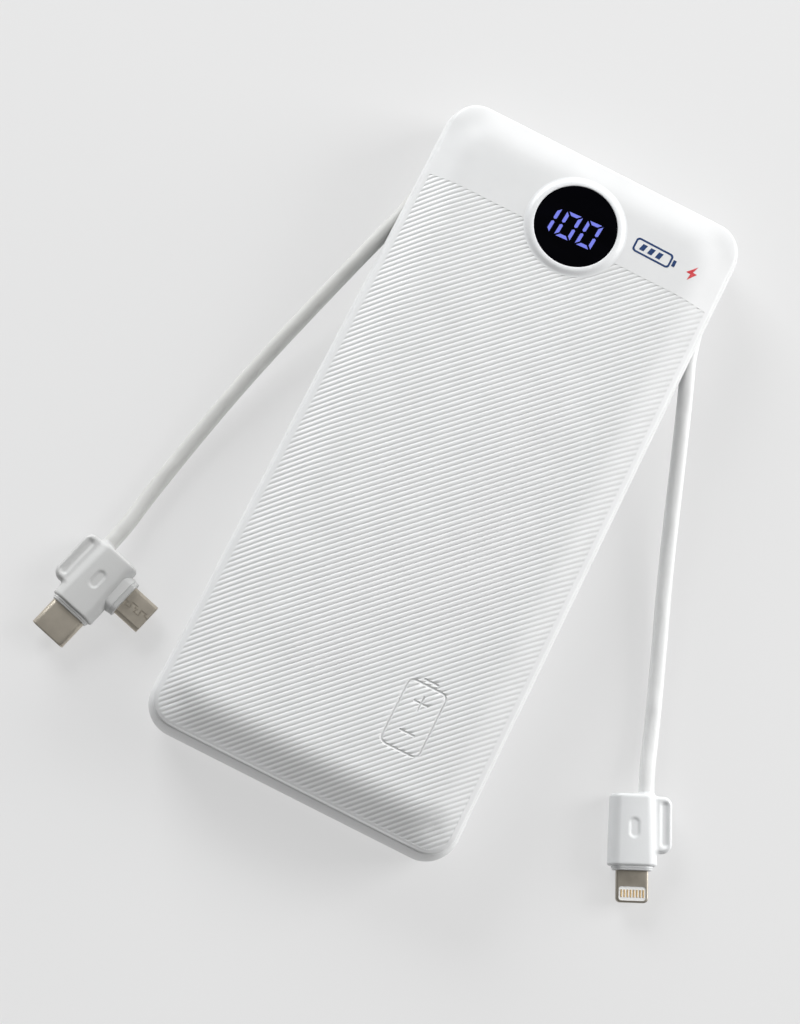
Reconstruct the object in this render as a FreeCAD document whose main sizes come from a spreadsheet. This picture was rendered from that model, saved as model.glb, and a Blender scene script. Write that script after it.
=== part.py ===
import FreeCAD, Part
import math
import os
import re
import Sketcher

# Slim power bank with two built-in charging leads, lying flat.
# +Y points to the display end, +X to the button side, +Z up. The origin is the
# centre of the underside. Everything is in millimetres.

DIMENSIONS = {
    # case
    "case_width": 70,
    "case_length": 151.5,
    "cover_top": 16,
    "corner_radius": 7,
    "waist_height": 7.5,
    "seam_height": 13,
    "seam_inset": 0.8,
    "underside_radius": 5.5,
    "wall": 1.6,
    "floor_thickness": 1.4,
    "floor_fillet": 3,
    "slot_reach": 4.4,
    "boss_radius": 1.9,
    "boss_bore": 0.82,
    # cover
    "cover_rim_top": 14,
    "cover_skin": 1.4,
    "lip_depth": 0.7,
    "lip_gap": 0.05,
    "lip_width": 1,
    # side channels and plug pockets
    "lead_height": 8,
    "channel_gap": 4.3,
    "channel_floor": 30.6,
    "liner_wall": 1.1,
    "liner_outer": 32.5,
    "channel_top": 56.5,
    "pocket_gap": 6.2,
    "pocket_top": -40.5,
    "pocket_bottom": -65,
    "pocket_depth_right": 13.6,
    "pocket_depth_left": 21.3,
    # display
    "display_y": 58.6,
    "bezel_radius": 10,
    "lens_radius": 8.9,
    "bezel_top": 16.5,
    "lens_top": 16.2,
    "lens_bottom": 15,
    # battery
    "cell_width": 57,
    "cell_length": 83.8,
    "cell_thickness": 5.5,
    "cell_y": 3.4,
    "tape_thickness": 0.3,
    # electronics
    "board_width": 56,
    "board_length": 23.4,
    "board_y": 60.3,
    "board_bottom": 4,
    "board_thickness": 1,
    "screw_radius": 0.8,
    # ports
    "port_face": 74.6,
    "port_skin": 0.3,
    "port_gap": 0.25,
    "type_a_x": -16.95,
    "type_a_width": 13.1,
    "type_a_height": 5.7,
    "type_a_length": 14,
    "type_a_rise": 2.85,
    "type_c_x": 14.5,
    "type_c_width": 8.94,
    "type_c_height": 3.26,
    "type_c_length": 7.3,
    "type_c_rise": 1.63,
    # button
    "button_y": 63.3,
    "button_length": 6,
    "button_height": 3.2,
    "button_face": 34.95,
    "button_gap": 0.15,
    "flange_thickness": 0.7,
    "plunger_radius": 0.9,
    "plunger_end": 28.3,
    "stem_length": 1.8,
    "stem_radius": 1.15,
    # leads and plugs
    "lead_diameter": 3.3,
    "plug_width": 10.4,
    "plug_thickness": 5.6,
    "plug_length": 14.9,
    "plug_radius": 2.3,
    "plug_edge": 0.5,
    "tab_reach": 3,
    "tab_length": 11.9,
    "tab_thickness": 3.4,
    "groove_width": 1.3,
    "groove_depth": 0.5,
    "dimple_length": 3.8,
    "dimple_width": 1.9,
    "dimple_depth": 0.3,
    "collar_thickness": 0.9,
    "collar_height": 4.5,
    "collar_radius": 2,
    # plug tips
    "type_c_collar_width": 9.2,
    "type_c_tip_width": 8.25,
    "type_c_tip_height": 2.4,
    "type_c_tip_reach": 6.4,
    "type_c_tip_skin": 0.3,
    "micro_collar_width": 8.8,
    "micro_collar_depth": 2.5,
    "micro_reach": 6.1,
    "blade_collar_width": 8.7,
}

# Routes of the leads. Each list runs from the end of the gland to the plug, and
# the last two points set the direction in which the plug lies.
LEAD_ROUTES = {
    "left": [
        (-33.10, 53.50, 8.00),
        (-33.94, 47.56, 8.00),
        (-36.20, 40.30, 7.80),
        (-40.70, 25.00, 6.60),
        (-47.35, 1.90, 3.70),
        (-51.75, -17.30, 2.00),
        (-54.80, -33.40, 1.75),
        (-55.80, -41.47, 2.80),
        (-57.00, -45.80, 2.80),
    ],
    "right": [
        (33.10, 53.50, 8.00),
        (34.05, 47.50, 8.00),
        (36.80, 40.40, 7.80),
        (41.85, 26.20, 6.50),
        (50.00, 3.40, 3.40),
        (57.40, -15.80, 2.00),
        (62.90, -31.20, 1.75),
        (64.70, -37.48, 2.80),
        (66.57, -41.58, 2.80),
    ],
}
LEAD_OFFSET = {"left": 3.5, "right": 2.9}  # lead to plug centreline, towards the tab
MIRROR = {"left": -1, "right": 1}  # sign of X in the case, and of the tab's side on a plug

Z_UP = FreeCAD.Vector(0, 0, 1)

doc = FreeCAD.newDocument("power_bank")
sheet = doc.addObject("Spreadsheet::Sheet", "Sheet")
for row, (alias, number) in enumerate(DIMENSIONS.items(), start=1):
    sheet.set(f"A{row}", alias)
    sheet.set(f"B{row}", str(number))
    sheet.setAlias(f"B{row}", alias)
doc.recompute()

ALIAS = re.compile(r"\b(" + "|".join(DIMENSIONS) + r")\b")
parts = []  # finished sub-parts, in the order they are made


# ---------------------------------------------------------------- helpers


def cells(formula):
    """The formula as an expression on the sheet's cells."""
    return ALIAS.sub(r"Sheet.\1", str(formula))


def value(formula):
    return float(sheet.evalExpression(cells(formula)))


def bind(thing, name, formula):
    thing.setExpression(name, cells(formula))


def finish(thing, label):
    """Name a finished sub-part and keep it for export."""
    thing.Label = label
    parts.append(thing)
    return thing


def place(thing, frame):
    """Move a sub-part that is modelled in a plug's own frame to where it lies."""
    thing.Placement = frame
    return thing


def new_body(name):
    return doc.addObject("PartDesign::Body", name)


def origin_plane(body, role):
    return next(f for f in body.Origin.OriginFeatures if f.Role == role)


def new_sketch(body, name, centre=(0, 0), level=0, plane="XY_Plane"):
    """A sketch whose origin is at centre in the plane, level above it."""
    sketch = body.newObject("Sketcher::SketchObject", name)
    sketch.AttachmentSupport = [(origin_plane(body, plane), "")]
    sketch.MapMode = "FlatFace"
    for axis, formula in zip("xyz", (*centre, level)):
        bind(sketch, f"AttachmentOffset.Base.{axis}", formula)
    return sketch


def dimension(sketch, name, constraint, formula):
    index = sketch.addConstraint(constraint)
    sketch.renameConstraint(index, name)
    bind(sketch, f"Constraints.{name}", formula)


def line(sketch, start, end):
    return sketch.addGeometry(Part.LineSegment(FreeCAD.Vector(*start, 0), FreeCAD.Vector(*end, 0)), False)


def rectangle(sketch, width, length):
    """A rectangle about the sketch's origin."""
    x, y = value(width) / 2, value(length) / 2
    corners = [(-x, -y), (x, -y), (x, y), (-x, y)]
    first = sketch.GeometryCount
    for index in range(4):
        line(sketch, corners[index], corners[(index + 1) % 4])
    for index in range(4):
        sketch.addConstraint(Sketcher.Constraint("Coincident", first + index, 2, first + (index + 1) % 4, 1))
        sketch.addConstraint(Sketcher.Constraint(("Horizontal", "Vertical")[index % 2], first + index))
    sketch.addConstraint(Sketcher.Constraint("Symmetric", first, 1, first + 2, 1, -1, 1))
    across = Sketcher.Constraint("DistanceX", first, 1, first, 2, 2 * x)
    along = Sketcher.Constraint("DistanceY", first + 1, 1, first + 1, 2, 2 * y)
    dimension(sketch, f"wide{first}", across, width)
    dimension(sketch, f"long{first}", along, length)


def rounded_rectangle(sketch, width, length, radius):
    """A rectangle about the sketch's origin with four equal round corners."""
    x, y, r = value(width) / 2, value(length) / 2, value(radius)
    first = sketch.GeometryCount
    line(sketch, (-x + r, -y), (x - r, -y))
    line(sketch, (x, -y + r), (x, y - r))
    line(sketch, (x - r, y), (-x + r, y))
    line(sketch, (-x, y - r), (-x, -y + r))
    centres = [(x - r, -y + r), (x - r, y - r), (-x + r, y - r), (-x + r, -y + r)]
    for quarter, centre in enumerate(centres):
        whole = Part.Circle(FreeCAD.Vector(*centre, 0), Z_UP, r)
        start = (quarter - 1) * math.pi / 2
        sketch.addGeometry(Part.ArcOfCircle(whole, start, start + math.pi / 2), False)
    for index in range(4):
        arc = first + 4 + index
        sketch.addConstraint(Sketcher.Constraint("Tangent", first + index, 2, arc, 1))
        sketch.addConstraint(Sketcher.Constraint("Tangent", arc, 2, first + (index + 1) % 4, 1))
        sketch.addConstraint(Sketcher.Constraint(("Horizontal", "Vertical")[index % 2], first + index))
    for index in range(3):
        sketch.addConstraint(Sketcher.Constraint("Equal", first + 4, first + 5 + index))
    sketch.addConstraint(Sketcher.Constraint("Symmetric", first + 4, 3, first + 6, 3, -1, 1))
    across = Sketcher.Constraint("DistanceX", first + 3, 1, first + 1, 1, 2 * x)
    along = Sketcher.Constraint("DistanceY", first, 1, first + 2, 1, 2 * y)
    dimension(sketch, f"wide{first}", across, width)
    dimension(sketch, f"long{first}", along, length)
    dimension(sketch, f"round{first}", Sketcher.Constraint("Radius", first + 4, r), radius)


def polygon(sketch, points):
    """A closed outline of straight lines through the points, each bound to the sheet."""
    corners = [(value(across), value(up)) for across, up in points]
    first = sketch.GeometryCount
    count = len(corners)
    for index, corner in enumerate(corners):
        line(sketch, corner, corners[(index + 1) % count])
    for index, (across, up) in enumerate(points):
        here = first + index
        after = first + (index + 1) % count
        x, y = corners[index]
        sketch.addConstraint(Sketcher.Constraint("Coincident", here, 2, after, 1))
        dimension(sketch, f"across{here}", Sketcher.Constraint("DistanceX", -1, 1, here, 1, x), across)
        dimension(sketch, f"up{here}", Sketcher.Constraint("DistanceY", -1, 1, here, 1, y), up)


def circle(sketch, radius):
    """A circle about the sketch's origin."""
    r = value(radius)
    index = sketch.addGeometry(Part.Circle(FreeCAD.Vector(0, 0, 0), Z_UP, r), False)
    sketch.addConstraint(Sketcher.Constraint("Coincident", index, 3, -1, 1))
    dimension(sketch, f"radius{index}", Sketcher.Constraint("Radius", index, r), radius)


def outline(sketch, width, length, radius=None):
    if radius is None:
        rectangle(sketch, width, length)
    else:
        rounded_rectangle(sketch, width, length, radius)


def pad(body, sketch, length, name, reverse=False, symmetric=False):
    feature = body.newObject("PartDesign::Pad", name)
    feature.Profile = (sketch, [""])
    feature.Reversed = reverse
    feature.Midplane = symmetric
    bind(feature, "Length", length)
    return feature


def pocket(body, sketch, depth, name, reverse=False, symmetric=False):
    """A pocket that fails loudly if it takes nothing away."""
    doc.recompute()
    before = body.Shape.Volume
    feature = body.newObject("PartDesign::Pocket", name)
    feature.Profile = (sketch, [""])
    feature.Reversed = reverse
    feature.Midplane = symmetric
    bind(feature, "Length", depth)
    doc.recompute()
    if not body.Shape.Volume < before - 1e-4:
        raise SystemExit(f"{body.Name}: {name} cuts nothing")
    return feature


def edges_where(shape, test):
    return [f"Edge{index}" for index, edge in enumerate(shape.Edges, start=1) if test(edge)]


def fillet(body, test, radius, name):
    """Round every edge of the body's tip that passes the test."""
    doc.recompute()
    tip = body.Tip
    names = edges_where(tip.Shape, test)
    feature = body.newObject("PartDesign::Fillet", name)
    feature.Base = (tip, names)
    bind(feature, "Radius", radius)
    doc.recompute()
    return feature


def level_edge(height, axis="Z"):
    """A test for edges that lie wholly at one height along an axis."""

    def test(edge):
        box = edge.BoundBox
        low, high = getattr(box, axis + "Min"), getattr(box, axis + "Max")
        return abs(low - height) < 1e-3 and abs(high - height) < 1e-3

    return test


def plate(label, centre, level, size, thickness, radius=None, plane="XY_Plane"):
    """A flat sub-part: one outline, padded along its plane's normal."""
    body = new_body(label)
    sketch = new_sketch(body, label + "_outline", centre, level, plane)
    outline(sketch, *size, radius)
    pad(body, sketch, thickness, label + "_pad")
    return finish(body, label)


def tube_shell(label, centre, level, size, radius, skin, length, plane):
    """A thin-walled sleeve: an outline and its inward offset, padded together."""
    body = new_body(label)
    sketch = new_sketch(body, label + "_outline", centre, level, plane)
    width, height = size
    rounded_rectangle(sketch, width, height, radius)
    rounded_rectangle(sketch, f"{width} - 2 * {skin}", f"{height} - 2 * {skin}", f"{radius} - {skin}")
    pad(body, sketch, length, label + "_pad")
    return finish(body, label)


def box(name, low, size):
    """A Part box with its low corner and size bound to the sheet."""
    thing = doc.addObject("Part::Box", name)
    for axis, formula in zip("xyz", low):
        bind(thing, f"Placement.Base.{axis}", formula)
    for side, formula in zip(("Length", "Width", "Height"), size):
        bind(thing, side, formula)
    return thing


def cylinder(name, base, radius, height, axis=Z_UP):
    thing = doc.addObject("Part::Cylinder", name)
    thing.Placement.Rotation = FreeCAD.Rotation(Z_UP, axis)
    for letter, formula in zip("xyz", base):
        bind(thing, f"Placement.Base.{letter}", formula)
    bind(thing, "Radius", radius)
    bind(thing, "Height", height)
    return thing


def cut(name, base, tool):
    thing = doc.addObject("Part::Cut", name)
    thing.Base = base
    thing.Tool = tool
    return thing


def fuse(name, base, tool):
    thing = doc.addObject("Part::Fuse", name)
    thing.Base = base
    thing.Tool = tool
    return thing


def compound(name, things):
    thing = doc.addObject("Part::Compound", name)
    thing.Links = things
    return thing


def group(label, things):
    """Several separate solids of one kind, kept as one sub-part."""
    return finish(compound(label, things), label)


# ---------------------------------------------------------------- case


def base_shell():
    """The tray that holds everything: barrel-sided, open at the top."""
    body = new_body("base_shell")
    lower = new_sketch(body, "waist_below", level="waist_height")
    rounded_rectangle(lower, "case_width", "case_length", "corner_radius")
    pad(body, lower, "waist_height", "lower_wall", reverse=True)
    upper = new_sketch(body, "waist_above", level="waist_height")
    rounded_rectangle(upper, "case_width", "case_length", "corner_radius")
    rise = pad(body, upper, "seam_height - waist_height", "upper_wall")
    bind(rise, "TaperAngle", "-atan(seam_inset / (seam_height - waist_height))")
    fillet(body, level_edge(0), "underside_radius", "underside_round")

    inset = "2 * (seam_inset + wall)"
    hollow = new_sketch(body, "hollow_outline", level="seam_height")
    rounded_rectangle(
        hollow, f"case_width - {inset}", f"case_length - {inset}", "corner_radius - seam_inset - wall + 0.4"
    )
    pocket(body, hollow, "seam_height - floor_thickness", "hollow")
    fillet(body, level_edge(value("floor_thickness")), "floor_fillet", "hollow_round")

    for side, sign in MIRROR.items():
        slot_length = "(channel_top + 4 - pocket_top)"
        centre = (f"{sign} * (liner_outer + 2)", f"pocket_top + {slot_length} / 2")
        slot = new_sketch(body, f"channel_slot_{side}", centre, "lead_height")
        rectangle(slot, "slot_reach", slot_length)
        pocket(body, slot, "channel_gap", f"channel_cut_{side}", symmetric=True)
        mouth_length = "(pocket_top - pocket_bottom)"
        centre = (f"{sign} * (liner_outer + 2)", f"pocket_bottom + {mouth_length} / 2")
        mouth = new_sketch(body, f"pocket_mouth_{side}", centre, "lead_height")
        rectangle(mouth, "slot_reach", mouth_length)
        pocket(body, mouth, "pocket_gap", f"pocket_cut_{side}", symmetric=True)

    for port, radius in (("type_a", 0.6), ("type_c", 1.8)):
        centre = (f"{port}_x", f"board_bottom + board_thickness + {port}_rise")
        window = new_sketch(body, port + "_window", centre, "-case_length / 2", "XZ_Plane")
        size = (f"{port}_{side} + 2 * port_gap" for side in ("width", "height"))
        rounded_rectangle(window, *size, radius)
        pocket(body, window, "2.5 * wall", port + "_cut", reverse=True)

    slot = new_sketch(body, "button_slot", ("button_y", "waist_height"), "case_width / 2", "YZ_Plane")
    rounded_rectangle(
        slot,
        "button_length + 2 * button_gap",
        "button_height + 2 * button_gap",
        "button_height / 2 + button_gap - 0.01",
    )
    pocket(body, slot, "2.5 * wall", "button_cut")

    for index, (x, y) in enumerate(BOSSES):
        foot = new_sketch(body, f"boss_{index}", (x, y), "floor_thickness")
        circle(foot, "boss_radius")
        circle(foot, "boss_bore")
        pad(body, foot, "board_bottom - floor_thickness", f"boss_rise_{index}")
    finish(body, "base_shell")


def top_cover():
    """The lid: a short rim, broad soft shoulders and a flat top, hollow below."""
    body = new_body("top_cover")
    # height, inset at the sides and near end, inset at the far end, corner radius
    sections = [
        ("seam_height", "seam_inset", "seam_inset", "corner_radius - seam_inset"),
        ("cover_rim_top", "1.15", "1.15", "corner_radius - 1.15"),
        ("14.6", "2.2", "1.8", "corner_radius - 1.6"),
        ("15.4", "5.5", "2.9", "corner_radius - 2"),
        ("cover_top", "11", "5.5", "corner_radius - 3"),
    ]
    sketches = []
    for index, (height, inset, far_inset, radius) in enumerate(sections):
        centre = (0, f"({inset} - ({far_inset})) / 2")
        sketch = new_sketch(body, f"cover_section_{index}", centre, height)
        length = f"case_length - {inset} - {far_inset}"
        rounded_rectangle(sketch, f"case_width - 2 * {inset}", length, radius)
        sketches.append(sketch)
    loft = body.newObject("PartDesign::AdditiveLoft", "cover_form")
    loft.Profile = (sketches[0], [""])
    loft.Sections = [(sketch, [""]) for sketch in sketches[1:]]
    loft.Ruled = True
    doc.recompute()

    recesses = [("5", "13.9", 7), ("10.5", "cover_top - cover_skin", 5)]
    for index, (inset, height, radius) in enumerate(recesses):
        recess = new_sketch(body, f"recess_{index}", level="seam_height")
        rounded_rectangle(recess, f"case_width - 2 * {inset}", f"case_length - 2 * {inset}", radius)
        pocket(body, recess, f"{height} - seam_height", f"recess_cut_{index}", reverse=True)

    lip = new_sketch(body, "lip_outline", level="seam_height")
    outer = "(seam_inset + wall + lip_gap)"
    for edge in (outer, f"({outer} + lip_width)"):
        size = (f"{side} - 2 * {edge}" for side in ("case_width", "case_length"))
        rounded_rectangle(lip, *size, f"corner_radius + 0.4 - {edge}")
    pad(body, lip, "lip_depth", "lip", reverse=True)

    window = new_sketch(body, "display_window", (0, "display_y"), "cover_top")
    circle(window, "bezel_radius - 0.4")
    pocket(body, window, "cover_skin + 0.6", "display_hole")
    finish(body, "top_cover")


def side_liner(side, depth):
    """The inner channel for one lead, with the box that its plug is stowed in."""
    sign = MIRROR[side]

    def trough(name, inner, gap, low_y, high_y, skin):
        width = f"(liner_outer - {inner} + {skin})"
        low_x = f"{inner} - {skin}" if sign > 0 else "-liner_outer"
        return box(
            f"{name}_{side}",
            (low_x, f"{low_y} - {skin}", f"lead_height - {gap} / 2 - {skin}"),
            (width, f"{high_y} - {low_y} + 2 * {skin}", f"{gap} + 2 * {skin}"),
        )

    pocket_floor = f"(case_width / 2 - {depth})"
    channel = ("channel_floor", "channel_gap", "pocket_top", "channel_top - liner_wall")
    stow = (pocket_floor, "pocket_gap", "pocket_bottom", "pocket_top")
    outer = fuse(
        f"liner_outer_{side}",
        trough("channel_outer", *channel, "liner_wall"),
        trough("pocket_outer", *stow, "liner_wall"),
    )
    channel_space = ("channel_floor", "channel_gap", "pocket_top", "channel_top + liner_wall")
    inner = fuse(
        f"liner_inner_{side}",
        trough("channel_inner", *channel_space, "0"),
        trough("pocket_inner", *stow, "0"),
    )
    finish(cut(f"side_liner_{side}", outer, inner), f"side_liner_{side}")


# ---------------------------------------------------------------- display


def revolve(label, name, points, centre):
    """A ring or disc: a half section of (radius, height) points turned about Z."""
    body = new_body(label)
    sketch = new_sketch(body, name, (centre[0], 0), f"-({centre[1]})", "XZ_Plane")
    polygon(sketch, points)
    turn = body.newObject("PartDesign::Revolution", name + "_turn")
    turn.Profile = (sketch, [""])
    turn.ReferenceAxis = (sketch, ["V_Axis"])
    turn.Angle = 360
    return finish(body, label)


def display_bezel():
    """The raised white ring, with a ledge that the lens rests on."""
    revolve(
        "display_bezel",
        "bezel_section",
        [
            ("lens_radius - 0.7", "cover_top - cover_skin"),
            ("bezel_radius - 0.45", "cover_top - cover_skin"),
            ("bezel_radius - 0.45", "cover_top"),
            ("bezel_radius", "cover_top"),
            ("bezel_radius - 0.15", "bezel_top - 0.15"),
            ("bezel_radius - 0.35", "bezel_top"),
            ("lens_radius + 0.35", "bezel_top"),
            ("lens_radius + 0.05", "lens_top - 0.1"),
            ("lens_radius + 0.05", "lens_bottom"),
            ("lens_radius - 0.7", "lens_bottom"),
        ],
        (0, "display_y"),
    )


# A seven-segment digit: each segment's centre in units of half the digit's width
# and half its height, and whether it stands upright.
SEGMENTS = {
    "top": (0, 1, False),
    "upper_right": (1, 0.5, True),
    "lower_right": (1, -0.5, True),
    "bottom": (0, -1, False),
    "lower_left": (-1, -0.5, True),
    "upper_left": (-1, 0.5, True),
}
ONE = ("upper_right", "lower_right")
READING = ((-6.25, ONE), (-1.45, tuple(SEGMENTS)), (3.35, tuple(SEGMENTS)))  # 100 percent
DIGIT_WIDTH = 2.84
DIGIT_HEIGHT = 5.4
DIGIT_DROP = 0.6  # the digits sit this far below the middle of the lens
DIGIT_SLANT = math.tan(math.radians(4))
DIGIT_TURN = 2  # degrees that the whole reading is turned in the lens
SEGMENT_HALF = 0.46  # half a segment's thickness
SEGMENT_GAP = 0.18  # from a segment's point to the corner where two segments meet
SEGMENT_DEPTH = 0.4


def segment_solid(x, y, upright):
    """One six-sided segment about (x, y), reaching down from the lens's face."""
    half = (DIGIT_HEIGHT / 4 if upright else DIGIT_WIDTH / 2) - SEGMENT_GAP
    thick = SEGMENT_HALF
    corners = [(-half, 0), (-half + thick, -thick), (half - thick, -thick)]
    corners += [(-across, -along) for across, along in corners]
    points = []
    for across, along in corners:
        east, north = (along, across) if upright else (across, along)
        points.append(FreeCAD.Vector(x + east + (y + north) * DIGIT_SLANT, y + north, 0))
    face = Part.Face(Part.makePolygon(points + points[:1]))
    solid = face.extrude(FreeCAD.Vector(0, 0, -SEGMENT_DEPTH))
    solid.translate(FreeCAD.Vector(0, -DIGIT_DROP, 0))
    solid.rotate(FreeCAD.Vector(0, 0, 0), Z_UP, DIGIT_TURN)
    solid.translate(FreeCAD.Vector(0, value("display_y"), value("lens_top")))
    return solid


def reading():
    """The lit segments of the state-of-charge reading."""
    solids = []
    for centre, lit in READING:
        for name in lit:
            across, up, upright = SEGMENTS[name]
            x = centre + across * DIGIT_WIDTH / 2
            solids.append(segment_solid(x, up * DIGIT_HEIGHT / 2, upright))
    return solids


def display():
    lens_disc = cylinder(
        "lens_disc", (0, "display_y", "lens_bottom"), "lens_radius", "lens_top - lens_bottom"
    )
    windows = doc.addObject("Part::Feature", "lens_windows")
    windows.Shape = Part.makeCompound(reading())
    finish(cut("display_lens", lens_disc, windows), "display_lens")
    segments = doc.addObject("Part::Feature", "display_segments")
    segments.Shape = Part.makeCompound(reading())
    finish(segments, "display_segments")
    plate("display_module", (0, "display_y - 0.2"), 12, (15.6, 9.2), 2.5, 0.4)
    pins = []
    for row in (-4.2, 3.8):
        for column in range(5):
            name = f"pin_{len(pins)}"
            low = ((column - 2) * 3, f"display_y + {row}", "board_bottom + board_thickness")
            pins.append(cylinder(name, low, 0.3, "12 - board_bottom - board_thickness"))
    group("display_pins", pins)


# ---------------------------------------------------------------- battery


def battery():
    lower_level = "floor_thickness + tape_thickness"
    upper_level = "floor_thickness + 2 * tape_thickness + cell_thickness"
    for name, level in (("lower", lower_level), ("upper", upper_level)):
        body = new_body(f"battery_cell_{name}")
        sketch = new_sketch(body, f"cell_{name}_outline", (0, "cell_y"), level)
        rounded_rectangle(sketch, "cell_width", "cell_length", 1.5)
        pad(body, sketch, "cell_thickness", f"cell_{name}_pad")
        fillet(body, level_edge(value(f"{level} + cell_thickness")), 1.2, f"cell_{name}_round")
        finish(body, f"battery_cell_{name}")
    plate("cell_tape_lower", (0, "cell_y"), "floor_thickness", (48, 75), "tape_thickness", 1)
    middle = f"{lower_level} + cell_thickness"
    plate("cell_tape_middle", (0, "cell_y"), middle, (48, 75), "tape_thickness", 1)
    top = f"{upper_level} + cell_thickness"
    plate("cell_foam_top", (0, "cell_y"), top, (46, 72), f"cover_top - cover_skin - ({top})", 2)

    end = "cell_y + cell_length / 2"
    plate("protection_board", (0, "7"), f"-({end} + 1.3 + 0.8)", (32, 8.8), 0.8, 0.5, "XZ_Plane")
    tabs = []
    for name, level in (("lower", lower_level), ("upper", upper_level)):
        for x in (-11, 7):
            low = (x, end, f"{level} + cell_thickness / 2")
            tabs.append(box(f"tab_{name}_{len(tabs)}", low, (4, 1.3, 0.15)))
    group("cell_tabs", tabs)


def wire(name, path, radius):
    """A round wire along a path of straight lines and tangent arcs."""
    tangent = path.Edges[0].tangentAt(path.Edges[0].FirstParameter)
    section = Part.Wire(Part.Circle(path.Vertexes[0].Point, tangent, radius).toShape())
    thing = doc.addObject("Part::Feature", name)
    thing.Shape = path.makePipeShell([section], True, False)
    return thing


def drop_path(start, direction, run, bend, end_height):
    """Straight out of a face, one quarter turn, then straight down."""
    out = FreeCAD.Vector(*direction)
    corner = FreeCAD.Vector(*start) + out * run
    low = corner + out * bend - Z_UP * bend
    middle = corner + out * bend * math.sin(math.pi / 4) - Z_UP * bend * (1 - math.cos(math.pi / 4))
    foot = FreeCAD.Vector(low.x, low.y, end_height)
    edges = [
        Part.LineSegment(FreeCAD.Vector(*start), corner).toShape(),
        Part.Arc(corner, middle, low).toShape(),
        Part.LineSegment(low, foot).toShape(),
    ]
    return Part.Wire(edges)


def board_top():
    return value("board_bottom + board_thickness")


def battery_leads():
    face = value("cell_y + cell_length / 2 + 1.3 + 0.8")
    for name, x in (("positive", -12), ("negative", 12)):
        path = drop_path((x, face, 9), (0, 1, 0), 1.0, 1.5, board_top())
        finish(wire(f"battery_lead_{name}", path, 0.6), f"battery_lead_{name}")


# ---------------------------------------------------------------- electronics

BOSSES = [(-25.6, 51.2), (25.6, 51.2), (-25.9, 67.0), (25.9, 69.0)]


def main_board():
    body = new_body("main_board")
    sketch = new_sketch(body, "board_outline", (0, "board_y"), "board_bottom")
    rounded_rectangle(sketch, "board_width", "board_length", 1.5)
    pad(body, sketch, "board_thickness", "board_pad")
    for index, (x, y) in enumerate(BOSSES):
        hole = new_sketch(body, f"board_hole_{index}", (x, y), "board_bottom")
        circle(hole, 0.95)
        pocket(body, hole, "board_thickness", f"board_drill_{index}", reverse=True)
    finish(body, "main_board")


def board_screws():
    screws = []
    top = "board_bottom + board_thickness"
    for index, (x, y) in enumerate(BOSSES):
        head = cylinder(f"screw_head_{index}", (x, y, top), 1.6, 0.9)
        shank = cylinder(f"screw_shank_{index}", (x, y, f"{top} - 3.4"), 0.8, 3.4)
        slot = box(f"screw_slot_{index}", (x - 1.1, y - 0.15, f"{top} + 0.5"), (2.2, 0.3, 1))
        screws.append(cut(f"screw_{index}", fuse(f"screw_blank_{index}", head, shank), slot))
    group("board_screws", screws)


def ports():
    """The two sockets in the far end wall."""
    height = {port: f"board_bottom + board_thickness + {port}_rise" for port in ("type_a", "type_c")}
    for port, radius in (("type_a", "0.5"), ("type_c", "1.6")):
        centre = (f"{port}_x", height[port])
        size = (f"{port}_width", f"{port}_height")
        name = port + "_shell"
        tube_shell(name, centre, "-port_face", size, radius, "port_skin", f"{port}_length", "XZ_Plane")

    a_height, c_height = height["type_a"], height["type_c"]
    tongue_low = ("type_a_x - 5.5", "port_face - type_a_length", f"{a_height} + 0.1")
    finish(box("type_a_tongue", tongue_low, (11, 13, 1.84)), "type_a_tongue")
    springs = []
    for index in range(4):
        low = (f"type_a_x + {-3.5 + 2.3 * index} - 0.5", "port_face - 12", f"{a_height} - 0.05")
        springs.append(box(f"type_a_spring_{index}", low, (1, 10.5, 0.15)))
    group("type_a_contacts", springs)

    tongue_low = ("type_c_x - 3.3", "port_face - type_c_length", f"{c_height} - 0.35")
    finish(box("type_c_tongue", tongue_low, (6.6, 6.3, 0.7)), "type_c_tongue")
    pads = []
    for index in range(12):
        for level in (f"{c_height} + 0.35", f"{c_height} - 0.4"):
            low = (f"type_c_x + {-2.75 + 0.5 * index} - 0.12", "port_face - 5.5", level)
            pads.append(box(f"type_c_pad_{len(pads)}", low, (0.24, 4, 0.05)))
    group("type_c_contacts", pads)


def components():
    """What the board carries between the gland, the ports and the display."""
    top = "board_bottom + board_thickness"
    core = new_body("power_inductor")
    sketch = new_sketch(core, "inductor_outline", (13.2, 55.4), top)
    rounded_rectangle(sketch, 7, 7, 1.2)
    pad(core, sketch, 3.2, "inductor_pad")
    fillet(core, level_edge(value(f"{top} + 3.2")), 0.4, "inductor_round")
    finish(core, "power_inductor")
    finish(cylinder("bulk_capacitor", (20.9, 56.0, top), 3.1, 5.8), "bulk_capacitor")
    plate("charge_controller", (0, 58.4), top, (5, 5), 0.9, 0.2)
    plate("display_driver", (0, 67.8), top, (4, 4), 0.8, 0.2)
    switches = []
    for index, y in enumerate((52.6, 57.0)):
        switches.append(box(f"mosfet_{index}", (-17.5, y - 1.6, top), (5, 3.2, 1)))
    group("power_switches", switches)
    chips = []
    for index in range(5):
        chips.append(box(f"chip_{index}", (-8.4 + 3.4 * index, 50.2, top), (1.6, 2.6, 1.3)))
    group("ceramic_capacitors", chips)


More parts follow.
